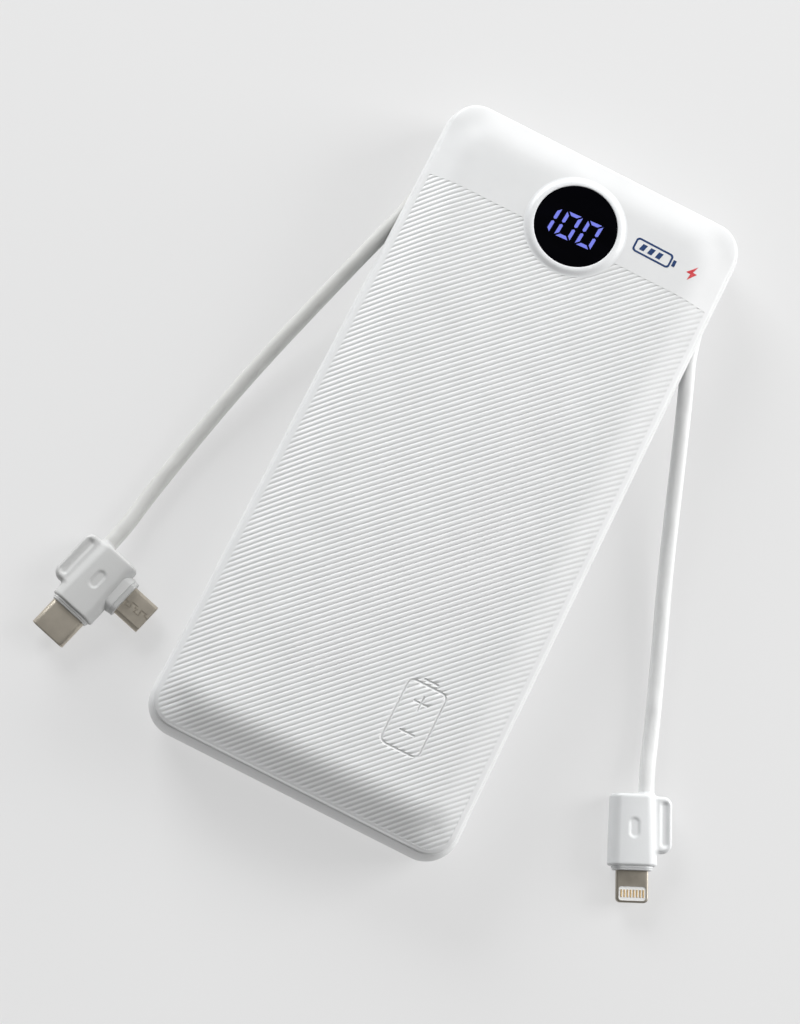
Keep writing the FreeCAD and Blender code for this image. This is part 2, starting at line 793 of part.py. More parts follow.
def button():
    """The side button, the stem it presses and the switch that clicks."""
    axis_y = "button_y"
    body = new_body("power_button")
    cap = new_sketch(body, "button_cap", (axis_y, "waist_height"), "liner_outer", "YZ_Plane")
    rounded_rectangle(cap, "button_length", "button_height", "button_height / 2 - 0.01")
    pad(body, cap, "button_face - liner_outer", "button_pad")
    fillet(body, level_edge(value("button_face"), "X"), 0.4, "button_round")
    flange = new_sketch(body, "button_flange", (axis_y, "waist_height"), "liner_outer", "YZ_Plane")
    rounded_rectangle(flange, "button_length - 0.6", "button_height + 1.6", 1.2)
    pad(body, flange, "flange_thickness", "flange_pad", reverse=True)
    back = "liner_outer - flange_thickness"
    plunger = new_sketch(body, "button_plunger", (axis_y, "waist_height"), back, "YZ_Plane")
    circle(plunger, "plunger_radius")
    pad(body, plunger, f"{back} - plunger_end", "plunger_pad", reverse=True)
    finish(body, "power_button")

    case = box("switch_case", (23, "button_y - 3", "board_bottom + board_thickness"), (4, 6, 4.2))
    bore = cylinder("switch_bore", (25.8, axis_y, "waist_height"), 1.3, 3, FreeCAD.Vector(1, 0, 0))
    finish(cut("tact_switch", case, bore), "tact_switch")
    foot = ("plunger_end - stem_length", axis_y, "waist_height")
    stem = cylinder("switch_stem", foot, "stem_radius", "stem_length", FreeCAD.Vector(1, 0, 0))
    finish(stem, "switch_stem")


# ---------------------------------------------------------------- leads


def points_of(side):
    return [FreeCAD.Vector(*point) for point in LEAD_ROUTES[side]]


def rounded_path(side):
    """Straight runs joined by tangent arcs, each as large as its two runs allow."""
    points = points_of(side)
    edges, radii = [], []
    last = points[0]
    for before, corner, after in zip(points, points[1:], points[2:]):
        into = (corner - before).normalize()
        away = (after - corner).normalize()
        turn = into.getAngle(away)
        reach = 0.45 * min((corner - before).Length, (after - corner).Length)
        radii.append(reach / math.tan(turn / 2))
        start = corner - into * reach
        end = corner + away * reach
        inward = (away - into).normalize()
        middle = corner + inward * (radii[-1] / math.cos(turn / 2) - radii[-1])
        edges.append(Part.LineSegment(last, start).toShape())
        edges.append(Part.Arc(start, middle, end).toShape())
        last = end
    edges.append(Part.LineSegment(last, points[-1]).toShape())
    return Part.Wire(edges), radii


def lead(side):
    path, radii = rounded_path(side)
    radius = value("lead_diameter") / 2
    thing = finish(wire(f"lead_{side}", path, radius), f"lead_{side}")
    ratio = thing.Shape.Volume / (math.pi * radius**2 * path.Length)
    print(f"lead_{side}: length {path.Length:.1f}, volume ratio {ratio:.4f},", end=" ")
    print("radii", " ".join(f"{r:.0f}" for r in radii))


def gland(side):
    """The moulded block that anchors a lead in the side wall, with its tapered nose."""
    sign = MIRROR[side]
    first, second = points_of(side)[:2]
    forward = (second - first).normalize()
    inner_x = "channel_floor - liner_wall"
    block_width = f"liner_outer - ({inner_x})"
    low_x = inner_x if sign > 0 else "-liner_outer"
    gap = "channel_gap + 2 * liner_wall"
    block = box(
        f"gland_block_{side}", (low_x, "channel_top", f"lead_height - ({gap}) / 2"), (block_width, 2.5, gap)
    )
    shoe_low = "liner_outer" if sign > 0 else "-liner_outer - 2.1"
    shoe = box(
        f"gland_shoe_{side}",
        (shoe_low, "channel_top", "lead_height - channel_gap / 2 + 0.1"),
        (2.1, 3.8, "channel_gap - 0.2"),
    )
    nose = doc.addObject("Part::Cone", f"gland_nose_{side}")
    length = (first.y - value("channel_top") - 0.4) / forward.y
    nose.Radius1 = 2.0
    nose.Radius2 = 1.75
    nose.Height = length
    nose.Placement = FreeCAD.Placement(first - forward * length, FreeCAD.Rotation(Z_UP, forward))
    body = fuse(f"gland_body_{side}", block, shoe)
    finish(fuse(f"lead_gland_{side}", body, nose), f"lead_gland_{side}")


def board_wires():
    """The four cores of each lead, from its gland down to the board."""
    wires = []
    inner = value("channel_floor - liner_wall")
    for sign in MIRROR.values():
        for index in range(4):
            start = (sign * inner, 56.85 + 0.6 * index, 6.2)
            path = drop_path(start, (-sign, 0, 0), 1.1, 1.0, board_top())
            wires.append(wire(f"core_{len(wires)}", path, 0.25))
    group("board_wires", wires)


# ---------------------------------------------------------------- plugs
# Each plug is modelled in its own frame: +X out of its nose, +Z up, the origin at
# the middle of its rear face. The finger tab is on the side away from the case.


def plug_frame(side):
    before, entry = points_of(side)[-2:]
    forward = (entry - before).normalize()
    turn = FreeCAD.Rotation(FreeCAD.Vector(1, 0, 0), forward)
    tab_side = turn.multVec(FreeCAD.Vector(0, MIRROR[side], 0))
    return FreeCAD.Placement(entry - tab_side * LEAD_OFFSET[side], turn)


def plug_housing(side, frame):
    """The soft-edged grip, with a grooved finger tab and a thumb dimple."""
    sign = MIRROR[side]
    label = f"plug_housing_{side}"
    body = new_body(label)
    end = new_sketch(body, label + "_end", (0, 0), 0, "YZ_Plane")
    rounded_rectangle(end, "plug_width", "plug_thickness", "plug_radius")
    pad(body, end, "plug_length", label + "_pad")
    fillet(body, level_edge(0, "X"), "plug_edge", label + "_rear_round")
    fillet(body, level_edge(value("plug_length"), "X"), "plug_edge", label + "_front_round")
    overlap = 2
    middle = f"{sign} * (plug_width / 2 + (tab_reach - {overlap}) / 2)"
    tab = new_sketch(body, label + "_tab", ("tab_length / 2 + 0.1", middle))
    rounded_rectangle(tab, "tab_length", f"tab_reach + {overlap}", 1.3)
    pad(body, tab, "tab_thickness", label + "_tab_pad", symmetric=True)
    for name, face in (("top", 1), ("bottom", -1)):
        level = f"{face} * tab_thickness / 2"
        centre = ("tab_length / 2 + 0.2", f"{sign} * (plug_width / 2 + tab_reach / 2)")
        groove = new_sketch(body, f"{label}_groove_{name}", centre, level)
        rounded_rectangle(groove, "tab_length - 2.4", "groove_width", "groove_width / 2 - 0.05")
        pocket(body, groove, "groove_depth", f"{label}_groove_cut_{name}", reverse=face < 0)
        dimple = new_sketch(body, f"{label}_dimple_{name}", ("7", 0), f"{face} * plug_thickness / 2")
        rounded_rectangle(dimple, "dimple_length", "dimple_width", "dimple_width / 2 - 0.05")
        pocket(body, dimple, "dimple_depth", f"{label}_dimple_cut_{name}", reverse=face < 0)
    place(finish(body, label), frame)


def nose_collar(label, width, frame):
    """The step between a grip and the tip on its nose."""
    size = (width, "collar_height")
    collar = plate(label, (0, 0), "plug_length", size, "collar_thickness", "collar_radius", "YZ_Plane")
    place(collar, frame)


def type_c_plug(frame):
    """The reversible plug on the left lead's nose."""
    nose_collar("type_c_collar", "type_c_collar_width", frame)
    start = "plug_length + collar_thickness"
    size = ("type_c_tip_width", "type_c_tip_height")
    radius = "type_c_tip_height / 2 - 0.01"
    skin, reach = "type_c_tip_skin", "type_c_tip_reach"
    shell = tube_shell("type_c_plug_shell", (0, 0), start, size, radius, skin, reach, "YZ_Plane")
    place(shell, frame)
    body = new_body("type_c_plug_insert")
    core = new_sketch(body, "insert_core", (0, 0), start, "YZ_Plane")
    rounded_rectangle(core, *(f"{side} - 2 * {skin}" for side in size), f"{radius} - {skin}")
    pad(body, core, f"{reach} - 0.4", "insert_pad")
    slot = new_sketch(body, "insert_slot", (0, 0), f"{start} + {reach} - 0.4", "YZ_Plane")
    rounded_rectangle(slot, 6.7, 0.9, 0.2)
    pocket(body, slot, 5.2, "insert_cut")
    place(finish(body, "type_c_plug_insert"), frame)
    strips = []
    for index in range(12):
        for level in (0.35, -0.45):
            low = (f"{start} + 1.2", -2.75 + 0.5 * index - 0.12, level)
            strips.append(box(f"plug_strip_{len(strips)}", low, (4, 0.24, 0.1)))
    place(group("type_c_plug_contacts", strips), frame)


MICRO_AXIAL = 6.1  # along the plug, from its rear face to the side plug's middle
MICRO_ROOT = "plug_width / 2 + 1.7"  # where the side plug's shell leaves its collar


def micro_outline(skin):
    """The side plug's section: flat below, with bevelled shoulders above."""
    half, low, waist, shoulder = 3.425 - skin, -0.9 + skin, 0.15, 2.7 - skin / 2
    points = [(-half, low), (half, low), (half, waist), (shoulder, -low), (-shoulder, -low), (-half, waist)]
    return [(f"{across:.4f}", f"{up:.4f}") for across, up in points]


def micro_plug(frame):
    """The side plug on the left lead, square to the first and facing the case."""
    seat = (MICRO_AXIAL, 0)
    size = ("micro_collar_width", "collar_height")
    depth, radius = "micro_collar_depth", "collar_radius"
    collar = plate("micro_collar", seat, f"-({MICRO_ROOT})", size, depth, radius, "XZ_Plane")
    place(collar, frame)
    housing = next(part for part in parts if part.Label == "plug_housing_left")
    sketch = new_sketch(housing, "micro_seat", seat, f"-({MICRO_ROOT})", "XZ_Plane")
    rounded_rectangle(sketch, *size, radius)
    pocket(housing, sketch, depth, "micro_seat_cut", reverse=True)

    skin = 0.25
    shell = new_body("micro_plug_shell")
    section = new_sketch(shell, "micro_section", seat, f"-({MICRO_ROOT})", "XZ_Plane")
    polygon(section, micro_outline(0))
    polygon(section, micro_outline(skin))
    pad(shell, section, "micro_reach", "micro_shell_pad", reverse=True)
    place(finish(shell, "micro_plug_shell"), frame)

    insert = new_body("micro_plug_insert")
    section = new_sketch(insert, "micro_core", seat, f"-({MICRO_ROOT})", "XZ_Plane")
    polygon(section, micro_outline(skin))
    pad(insert, section, 2.4, "micro_core_pad", reverse=True)
    tongue = new_sketch(insert, "micro_tongue", (MICRO_AXIAL, -0.35), f"-({MICRO_ROOT})", "XZ_Plane")
    rectangle(tongue, 4.6, 0.6)
    pad(insert, tongue, "micro_reach - 0.5", "micro_tongue_pad", reverse=True)
    place(finish(insert, "micro_plug_insert"), frame)

    strips = []
    for index in range(5):
        low = (MICRO_AXIAL + 0.65 * (index - 2) - 0.17, f"{MICRO_ROOT} + 2.5", -0.05)
        strips.append(box(f"micro_strip_{index}", low, (0.34, 2.9, 0.08)))
    place(group("micro_plug_contacts", strips), frame)


BLADE_WIDTH = 6.7
BLADE_LENGTH = 6.6
BLADE_THICKNESS = 1.5
BLADE_CONTACTS = 8


def blade_plug(frame):
    """The flat eight-contact plug on the right lead's nose, the same on both faces."""
    nose_collar("blade_collar", "blade_collar_width", frame)
    root = value("plug_length + collar_thickness")
    tip = root + BLADE_LENGTH
    window = (tip - 1.85, 0)
    window_size = (2.9, 5.7)
    window_depth = 0.2
    face = BLADE_THICKNESS / 2

    blade = new_body("blade_shank")
    plan = new_sketch(blade, "blade_plan", (root + BLADE_LENGTH / 2, 0))
    rectangle(plan, BLADE_LENGTH, BLADE_WIDTH)
    pad(blade, plan, BLADE_THICKNESS, "blade_pad", symmetric=True)

    def tip_corner(edge):
        upright = edge.BoundBox.ZLength > BLADE_THICKNESS - 1e-3
        return upright and edge.BoundBox.XMin > tip - 1e-3

    fillet(blade, tip_corner, 0.9, "blade_corner_round")
    strips = []
    plates = []
    for name, side in (("top", 1), ("bottom", -1)):
        recess = new_sketch(blade, f"blade_window_{name}", window, side * face)
        rounded_rectangle(recess, *window_size, 0.6)
        pocket(blade, recess, window_depth, f"blade_window_cut_{name}", reverse=side < 0)
        low = face - window_depth if side > 0 else -face
        insert = new_body(f"blade_insert_{name}")
        sketch = new_sketch(insert, f"blade_insert_plan_{name}", window, low)
        rounded_rectangle(sketch, *window_size, 0.6)
        pad(insert, sketch, window_depth, f"blade_insert_pad_{name}")
        plates.append(insert)
        for index in range(BLADE_CONTACTS):
            across = 0.63 * (index - (BLADE_CONTACTS - 1) / 2) - 0.19
            corner = (window[0] - 0.8, across, low)
            strips.append(box(f"blade_contact_{name}_{index}", corner, (1.6, 0.38, window_depth)))
    place(finish(blade, "blade_shank"), frame)
    blank = compound("blade_insert_blank", plates)
    spaces = compound("blade_contact_spaces", strips)
    place(finish(cut("blade_insert", blank, spaces), "blade_insert"), frame)
    place(group("blade_contacts", strips), frame)


# ---------------------------------------------------------------- assembly


def build():
    base_shell()
    top_cover()
    side_liner("left", "pocket_depth_left")
    side_liner("right", "pocket_depth_right")
    display_bezel()
    display()
    battery()
    battery_leads()
    main_board()
    board_screws()
    ports()
    components()
    button()
    board_wires()
    for side in MIRROR:
        gland(side)
        lead(side)
        plug_housing(side, plug_frame(side))
    type_c_plug(plug_frame("left"))
    micro_plug(plug_frame("left"))
    blade_plug(plug_frame("right"))


def check():
    for thing in doc.Objects:
        if "Invalid" in thing.State or "Error" in thing.State:
            raise SystemExit(f"{thing.Label} is {thing.State}")
    for part in parts:
        if part.Shape.isNull() or not part.Shape.isValid():
            raise SystemExit(f"{part.Label} has no valid shape")


def export():
    os.makedirs("parts", exist_ok=True)
    for part in parts:
        part.Shape.exportStep(f"parts/{part.Label}.step")


build()
doc.recompute()
check()
export()
print(len(parts), "sub-parts")
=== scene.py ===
import math

import bmesh
import bpy
import numpy as np
import openvdb
from mathutils import Matrix, Vector


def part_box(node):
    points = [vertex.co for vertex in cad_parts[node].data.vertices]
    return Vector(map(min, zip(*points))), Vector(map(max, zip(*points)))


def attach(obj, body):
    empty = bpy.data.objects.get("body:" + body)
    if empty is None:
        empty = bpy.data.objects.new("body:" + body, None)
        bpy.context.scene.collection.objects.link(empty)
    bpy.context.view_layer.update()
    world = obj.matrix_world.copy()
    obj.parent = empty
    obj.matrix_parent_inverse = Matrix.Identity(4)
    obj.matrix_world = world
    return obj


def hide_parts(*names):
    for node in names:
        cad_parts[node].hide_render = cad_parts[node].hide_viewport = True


# A slim power bank with two built-in leads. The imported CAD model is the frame, and each
# visible piece is built here in its place. Shapes are worked out in millimetres in the
# frame's own axes, and turned into metres as each mesh is made.

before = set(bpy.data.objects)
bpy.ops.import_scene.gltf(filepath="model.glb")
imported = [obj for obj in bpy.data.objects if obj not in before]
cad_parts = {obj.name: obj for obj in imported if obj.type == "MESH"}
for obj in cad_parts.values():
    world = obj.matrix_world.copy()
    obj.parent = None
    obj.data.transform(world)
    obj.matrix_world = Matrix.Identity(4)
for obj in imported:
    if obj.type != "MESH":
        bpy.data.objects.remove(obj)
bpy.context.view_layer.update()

MM = 0.001
UP = Vector((0, 0, 1))


def box_mm(node):
    low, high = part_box(node)
    return low / MM, high / MM


def in_scene(name, data):
    """A new object with this data, linked into the scene."""
    thing = bpy.data.objects.new(name, data)
    bpy.context.scene.collection.objects.link(thing)
    return thing


# ---------------------------------------------------------------- camera

CAMERA_TARGET = Vector((-5.97, -14.34, 16.0))
CAMERA_DISTANCE = 523.8
CAMERA_TILT = 13.27  # degrees back from straight down
CAMERA_ROLL = 26.81  # degrees that the case leans to the right in the view
CAMERA_LENS = 89.3


def add_camera():
    data = bpy.data.cameras.new("camera")
    data.lens = CAMERA_LENS
    data.sensor_width = 36
    data.clip_start = 0.01
    data.clip_end = 20
    camera = in_scene("camera", data)
    tilt = Matrix.Rotation(math.radians(CAMERA_TILT), 4, "X")
    roll = Matrix.Rotation(math.radians(CAMERA_ROLL), 4, "Z")
    back = Matrix.Translation((0, 0, CAMERA_DISTANCE * MM))
    camera.matrix_world = Matrix.Translation(CAMERA_TARGET * MM) @ tilt @ roll @ back
    bpy.context.scene.camera = camera


add_camera()

# ---------------------------------------------------------------- materials


class Shader:
    """A principled material with helpers for the noise that gives it life."""

    def __init__(self, name, **sockets):
        self.material = bpy.data.materials.new(name)
        self.material.use_nodes = True
        self.nodes = self.material.node_tree.nodes
        self.links = self.material.node_tree.links
        self.surface = self.nodes["Principled BSDF"]
        self.place = self.nodes.new("ShaderNodeTexCoord").outputs["Object"]
        self.bump = None
        for socket, number in sockets.items():
            self.surface.inputs[socket.replace("_", " ")].default_value = number

    def noise(self, size, detail=3.0, stretch=(1, 1, 1)):
        """Noise with features of about size millimetres, drawn out by stretch."""
        mapping = self.nodes.new("ShaderNodeMapping")
        mapping.inputs["Scale"].default_value = [1 / (size * MM * s) for s in stretch]
        self.links.new(self.place, mapping.inputs["Vector"])
        noise = self.nodes.new("ShaderNodeTexNoise")
        noise.inputs["Scale"].default_value = 1
        noise.inputs["Detail"].default_value = detail
        self.links.new(mapping.outputs["Vector"], noise.inputs["Vector"])
        return noise.outputs["Fac"]

    def spread(self, factor, low, high, start=0.3, end=0.7):
        """The factor's middle range mapped to low to high."""
        node = self.nodes.new("ShaderNodeMapRange")
        node.inputs["From Min"].default_value = start
        node.inputs["From Max"].default_value = end
        node.inputs["To Min"].default_value = low
        node.inputs["To Max"].default_value = high
        self.links.new(factor, node.inputs["Value"])
        return node.outputs["Result"]

    def mix(self, factor, first, second):
        """A colour between two, each a tuple or another node's output."""
        node = self.nodes.new("ShaderNodeMix")
        node.data_type = "RGBA"
        self.links.new(factor, node.inputs["Factor"])
        for socket, colour in ((node.inputs[6], first), (node.inputs[7], second)):
            if isinstance(colour, tuple):
                socket.default_value = (*colour, 1)
            else:
                self.links.new(colour, socket)
        return node.outputs[2]

    def shades(self, factor, colour, dark, light):
        """The colour times dark to the colour times light, as the factor rises."""
        return self.mix(self.spread(factor, 0, 1), tint(colour, dark), tint(colour, light))

    def edges(self, low, high):
        """0 on flats and hollows to 1 on sharp ridges, where handling shows first."""
        point = self.nodes.new("ShaderNodeNewGeometry").outputs["Pointiness"]
        return self.spread(point, 0, 1, low, high)

    def colour(self, output):
        self.links.new(output, self.surface.inputs["Base Color"])

    def roughness(self, output):
        self.links.new(output, self.surface.inputs["Roughness"])

    def relief(self, height, depth):
        """Adds bumps of about depth millimetres, over any that are there already."""
        node = self.nodes.new("ShaderNodeBump")
        node.inputs["Distance"].default_value = depth * MM
        self.links.new(height, node.inputs["Height"])
        if self.bump is not None:
            self.links.new(self.bump, node.inputs["Normal"])
        self.bump = node.outputs["Normal"]
        self.links.new(self.bump, self.surface.inputs["Normal"])


def tint(colour, by):
    return tuple(min(1.0, part * by) for part in colour)


def plastic(name, colour, rough=0.42, grain=0.35, depth=0.02, wear=1.0, **sockets):
    """Moulded plastic: faint cloudiness, a fine spark-eroded grain and rubbed edges."""
    shader = Shader(name, **sockets)
    cloud = shader.noise(9, 4)
    fine = shader.noise(grain, 2)
    body = shader.shades(cloud, colour, 0.975, 1.015)
    rubbed = shader.mix(shader.edges(0.53, 0.60), body, tint(colour, 1 + 0.04 * wear))
    shader.colour(rubbed)
    shader.roughness(shader.spread(fine, rough - 0.05, rough + 0.06))
    shader.relief(fine, depth)
    return shader.material


def rubber(name, colour, rough=0.5):
    """Soft moulded rubber: a waxy bloom, and the faint draw lines of an extruded skin."""
    shader = Shader(name, Sheen_Weight=0.08, Sheen_Roughness=0.4)
    bloom = shader.noise(5, 4)
    skin = shader.noise(0.5, 2)
    shader.colour(shader.shades(bloom, colour, 0.96, 1.02))
    shader.roughness(shader.spread(bloom, rough - 0.06, rough + 0.08))
    shader.relief(skin, 0.015)
    return shader.material


def metal(name, colour, rough=0.3, along=(0.12, 3, 1), rub=1.12, **sockets):
    """Plated sheet metal: fine drawing lines, cloudy reflection and brighter edges."""
    shader = Shader(name, Metallic=1.0, **sockets)
    lines = shader.noise(0.5, 3, along)
    cloud = shader.noise(2.2, 3)
    body = shader.shades(cloud, colour, 0.90, 1.06)
    shader.colour(shader.mix(shader.edges(0.53, 0.62), body, tint(colour, rub)))
    shader.roughness(shader.spread(lines, rough - 0.08, rough + 0.12))
    shader.relief(lines, 0.004)
    return shader.material


def lens_glass(name):
    """The black display window: non-reflecting, with a few faint wipe marks."""
    shader = Shader(name, Specular_IOR_Level=0.04)
    smear = shader.noise(4, 4, (3, 1, 1))
    shader.colour(shader.mix(shader.spread(smear, 0, 1), (0.0004, 0.0004, 0.0010), (0.0010, 0.0010, 0.0022)))
    shader.roughness(shader.spread(smear, 0.10, 0.20))
    shader.relief(smear, 0.003)
    return shader.material


def glow(name, colour, strength):
    """A lit segment: brighter in its middle, with the grain of its diffusing film."""
    shader = Shader(name, Emission_Strength=strength, Roughness=0.25)
    film = shader.noise(0.35, 3)
    lit = shader.shades(film, colour, 0.90, 1.08)
    shader.links.new(lit, shader.surface.inputs["Emission Color"])
    shader.colour(shader.mix(film, tint(colour, 0.04), tint(colour, 0.06)))
    shader.relief(film, 0.005)
    return shader.material


def printed(name, colour):
    """Pad-printed ink: slightly uneven cover, a touch glossier than the case."""
    shader = Shader(name)
    cover = shader.noise(0.4, 4)
    shader.colour(shader.shades(cover, colour, 0.85, 1.2))
    shader.roughness(shader.spread(cover, 0.3, 0.42))
    shader.relief(cover, 0.004)
    return shader.material


def board(name, colour):
    """Solder mask over copper: the tracks show as slightly raised, lighter bands."""
    shader = Shader(name, Coat_Weight=0.3)
    track = shader.noise(1.4, 0, (1, 4, 1))
    speck = shader.noise(0.3, 3)
    shader.colour(shader.mix(shader.spread(track, 0, 1, 0.48, 0.52), colour, tint(colour, 1.7)))
    shader.roughness(shader.spread(speck, 0.28, 0.45))
    shader.relief(track, 0.03)
    return shader.material


def foil(name, colour):
    """Pouch-cell laminate: dull aluminium film with soft wrinkles."""
    shader = Shader(name, Metallic=0.85)
    crease = shader.noise(7, 5, (1, 2, 1))
    cloud = shader.noise(2, 3)
    shader.colour(shader.shades(cloud, colour, 0.88, 1.08))
    shader.roughness(shader.spread(crease, 0.3, 0.5))
    shader.relief(crease, 0.25)
    return shader.material


def foam(name, colour):
    """Open-cell foam: small pits all over, their colour painted darker where they are deeper: painted shade
    in the hollows.
    """
    shader = Shader(name)
    pits_and_painted_shade = shader.noise(0.5, 6)
    shader.colour(shader.shades(pits_and_painted_shade, colour, 0.5, 1.3))
    shader.roughness(shader.spread(pits_and_painted_shade, 0.85, 0.98))
    shader.relief(pits_and_painted_shade, 0.3)
    return shader.material


WHITE = (0.805, 0.81, 0.812)
WARM_METAL = (0.58, 0.53, 0.45)

MATERIALS = {
    "shell": plastic("shell_plastic", WHITE, 0.40, 0.30, 0.016),
    "cover": plastic("cover_plastic", WHITE, 0.40, 0.26, 0.005),
    "bezel": plastic("bezel_plastic", (0.86, 0.87, 0.88), 0.30, 0.4, 0.006),
    "liner": plastic("liner_plastic", (0.78, 0.79, 0.80), 0.55, 0.5, 0.03),
    "button": plastic("button_plastic", (0.82, 0.83, 0.84), 0.33, 0.3, 0.01),
    # The left plug's plastic is a darker copy of the right plug's: painted shade, where the case keeps the
    # light from the right off the left plug.
    "plug_left": plastic("plug_plastic_left", (0.62, 0.622, 0.615), 0.46, 0.28, 0.012),
    "plug_right": plastic("plug_plastic_right", (0.79, 0.80, 0.805), 0.46, 0.28, 0.012),
    # The two leads are one rubber in two copies: the left one darker, as painted shade where the case keeps
    # the light from the right off it, and the right one lighter, as painted light.
    "lead_left": rubber("lead_rubber_left", (0.67, 0.67, 0.65)),
    "lead_right": rubber("lead_rubber_right", (0.83, 0.835, 0.83)),
    "plate": metal("plug_plating", WARM_METAL, 0.42),
    "blade": metal("blade_plating", tint(WARM_METAL, 0.66), 0.42, rub=1.3),
    "port": metal("port_plating", (0.58, 0.58, 0.59), 0.28),
    "gold": metal("contact_gold", (0.72, 0.53, 0.29), 0.42, rub=1.05),
    "nickel": metal("nickel_plate", (0.66, 0.63, 0.57), 0.35),
    "can": metal("capacitor_can", (0.72, 0.73, 0.75), 0.25, (1, 1, 4)),
    "insert": plastic("insert_plastic", (0.86, 0.86, 0.85), 0.35, 0.2, 0.005),
    "dark": plastic("dark_plastic", (0.018, 0.018, 0.02), 0.45, 0.3, 0.01),
    "chip": plastic("chip_resin", (0.03, 0.03, 0.033), 0.5, 0.15, 0.01),
    "ferrite": plastic("ferrite_body", (0.11, 0.11, 0.115), 0.6, 0.25, 0.03),
    "ceramic": plastic("ceramic_body", (0.55, 0.42, 0.27), 0.4, 0.3, 0.01),
    "tape": rubber("tape_film", (0.80, 0.78, 0.72)),
    "red": rubber("red_insulation", (0.60, 0.02, 0.02)),
    "black": rubber("black_insulation", (0.02, 0.02, 0.022)),
    "lens": lens_glass("lens_black"),
    "digit": glow("digit_light", (0.19, 0.22, 0.80), 1.0),
    "navy": printed("navy_ink", (0.014, 0.046, 0.15)),
    "crimson": printed("crimson_ink", (0.62, 0.045, 0.055)),
    "mask": board("board_mask", (0.02, 0.15, 0.06)),
    "foil": foil("cell_laminate", (0.62, 0.63, 0.66)),
    "foam": foam("cell_foam", (0.09, 0.09, 0.095)),
}

# ---------------------------------------------------------------- mesh helpers


def new_piece(name, points, faces, material, slot=None, nodes=(), body="case", crease=35):
    """A piece made from points in millimetres, riding on its body."""
    mesh = bpy.data.meshes.new(name)
    points = np.asarray(points, float) * MM
    mesh.from_pydata(points.tolist(), [], [list(map(int, face)) for face in faces])
    mesh.validate()
    face_outwards(mesh)
    mesh.materials.append(MATERIALS[material])
    piece = in_scene(name, mesh)
    shade(piece, crease)
    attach(piece, body)
    if nodes:
        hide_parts(*nodes)
    return piece


def face_outwards(mesh):
    work = bmesh.new()
    work.from_mesh(mesh)
    bmesh.ops.recalc_face_normals(work, faces=work.faces)
    work.to_mesh(mesh)
    work.free()


def shade(piece, crease):
    """Smooth shading, broken where two faces meet at more than crease degrees."""
    mesh = piece.data
    mesh.shade_smooth()
    mesh.set_sharp_from_angle(angle=math.radians(crease))


def cut_away(piece, cutters, crease=35):
    """Cuts the cutters' closed meshes, in millimetres, out of the piece."""
    for points, faces in cutters:
        mesh = bpy.data.meshes.new("cutter")
        mesh.from_pydata((np.asarray(points, float) * MM).tolist(), [], faces)
        face_outwards(mesh)
        tool = in_scene("cutter", mesh)
        cut = piece.modifiers.new("cut", "BOOLEAN")
        cut.operation = "DIFFERENCE"
        cut.solver = "EXACT"
        cut.object = tool
        graph = bpy.context.evaluated_depsgraph_get()
        result = bpy.data.meshes.new_from_object(piece.evaluated_get(graph))
        piece.modifiers.remove(cut)
        old = piece.data
        piece.data = result
        bpy.data.meshes.remove(old)
        bpy.data.objects.remove(tool)
    shade(piece, crease)


def rounded_ring(half_x, half_y, radius, steps=12):
    """Anticlockwise points and outward normals of a rounded rectangle about the origin."""
    points, normals = [], []
    for quarter in range(4):
        sign_x = 1 if quarter in (0, 3) else -1
        sign_y = 1 if quarter in (0, 1) else -1
        centre = ((half_x - radius) * sign_x, (half_y - radius) * sign_y)
        for step in range(steps + 1):
            angle = (quarter + step / steps) * math.pi / 2
            normal = (math.cos(angle), math.sin(angle))
            points.append((centre[0] + radius * normal[0], centre[1] + radius * normal[1]))
            normals.append(normal)
    return np.array(points), np.array(normals)


def bridge(first, second, count, closed=True):
    """Quads between two rings of count points that start at these indices."""
    stop = count if closed else count - 1
    return [
        (first + i, first + (i + 1) % count, second + (i + 1) % count, second + i)
        for i in range(stop)
    ]


def skin(rings, caps=True):
    """Points and faces of a surface through rings of equal size, with flat ends."""
    count = len(rings[0])
    faces = []
    for index in range(len(rings) - 1):
        faces += bridge(index * count, (index + 1) * count, count)
    if caps:
        faces.append(tuple(reversed(range(count))))
        last = (len(rings) - 1) * count
        faces.append(tuple(range(last, last + count)))
    return np.concatenate([np.asarray(ring, float) for ring in rings]), faces


def level(flat, height):
    """A ring of points in the plane, lifted to a height."""
    return np.column_stack([flat, np.full(len(flat), float(height))])


def quarter(steps, first=1):
    """(1 - cos, 1 - sin) at each step of a quarter turn, for an eased edge."""
    turns = [math.pi / 2 * step / steps for step in range(first, steps + 1)]
    return [(1 - math.cos(turn), 1 - math.sin(turn)) for turn in turns]


def slab(half_x, half_y, radius, low, high, edge=0.0, steps=10, arc=4):
    """A rounded rectangle padded from low to high, its two rims rounded by edge."""
    flat, normals = rounded_ring(half_x, half_y, radius, steps)
    if edge <= 0:
        return skin([level(flat, low), level(flat, high)])
    turns = quarter(arc, 0)
    rings = [level(flat - normals * edge * late, low + edge * early) for early, late in turns]
    rings += [level(flat - normals * edge * early, high - edge * late) for early, late in turns]
    return skin(rings)


def moved(shape, matrix):
    """Points and faces with the points carried by a matrix, in millimetres."""
    points, faces = shape
    points = np.asarray(points, float)
    turned = points @ np.array(matrix.to_3x3()).T + np.array(matrix.translation)
    return turned, faces


def unit_circle(steps):
    angles = np.arange(steps) * 2 * math.pi / steps
    return np.column_stack([np.cos(angles), np.sin(angles)])


def disc(profile, centre, steps=128):
    """A profile of (radius, height) points turned about an upright axis, its two ends capped."""
    circle = unit_circle(steps)
    return skin([level(circle * radius + np.array(centre[:2]), height) for radius, height in profile])


# ---------------------------------------------------------------- leads

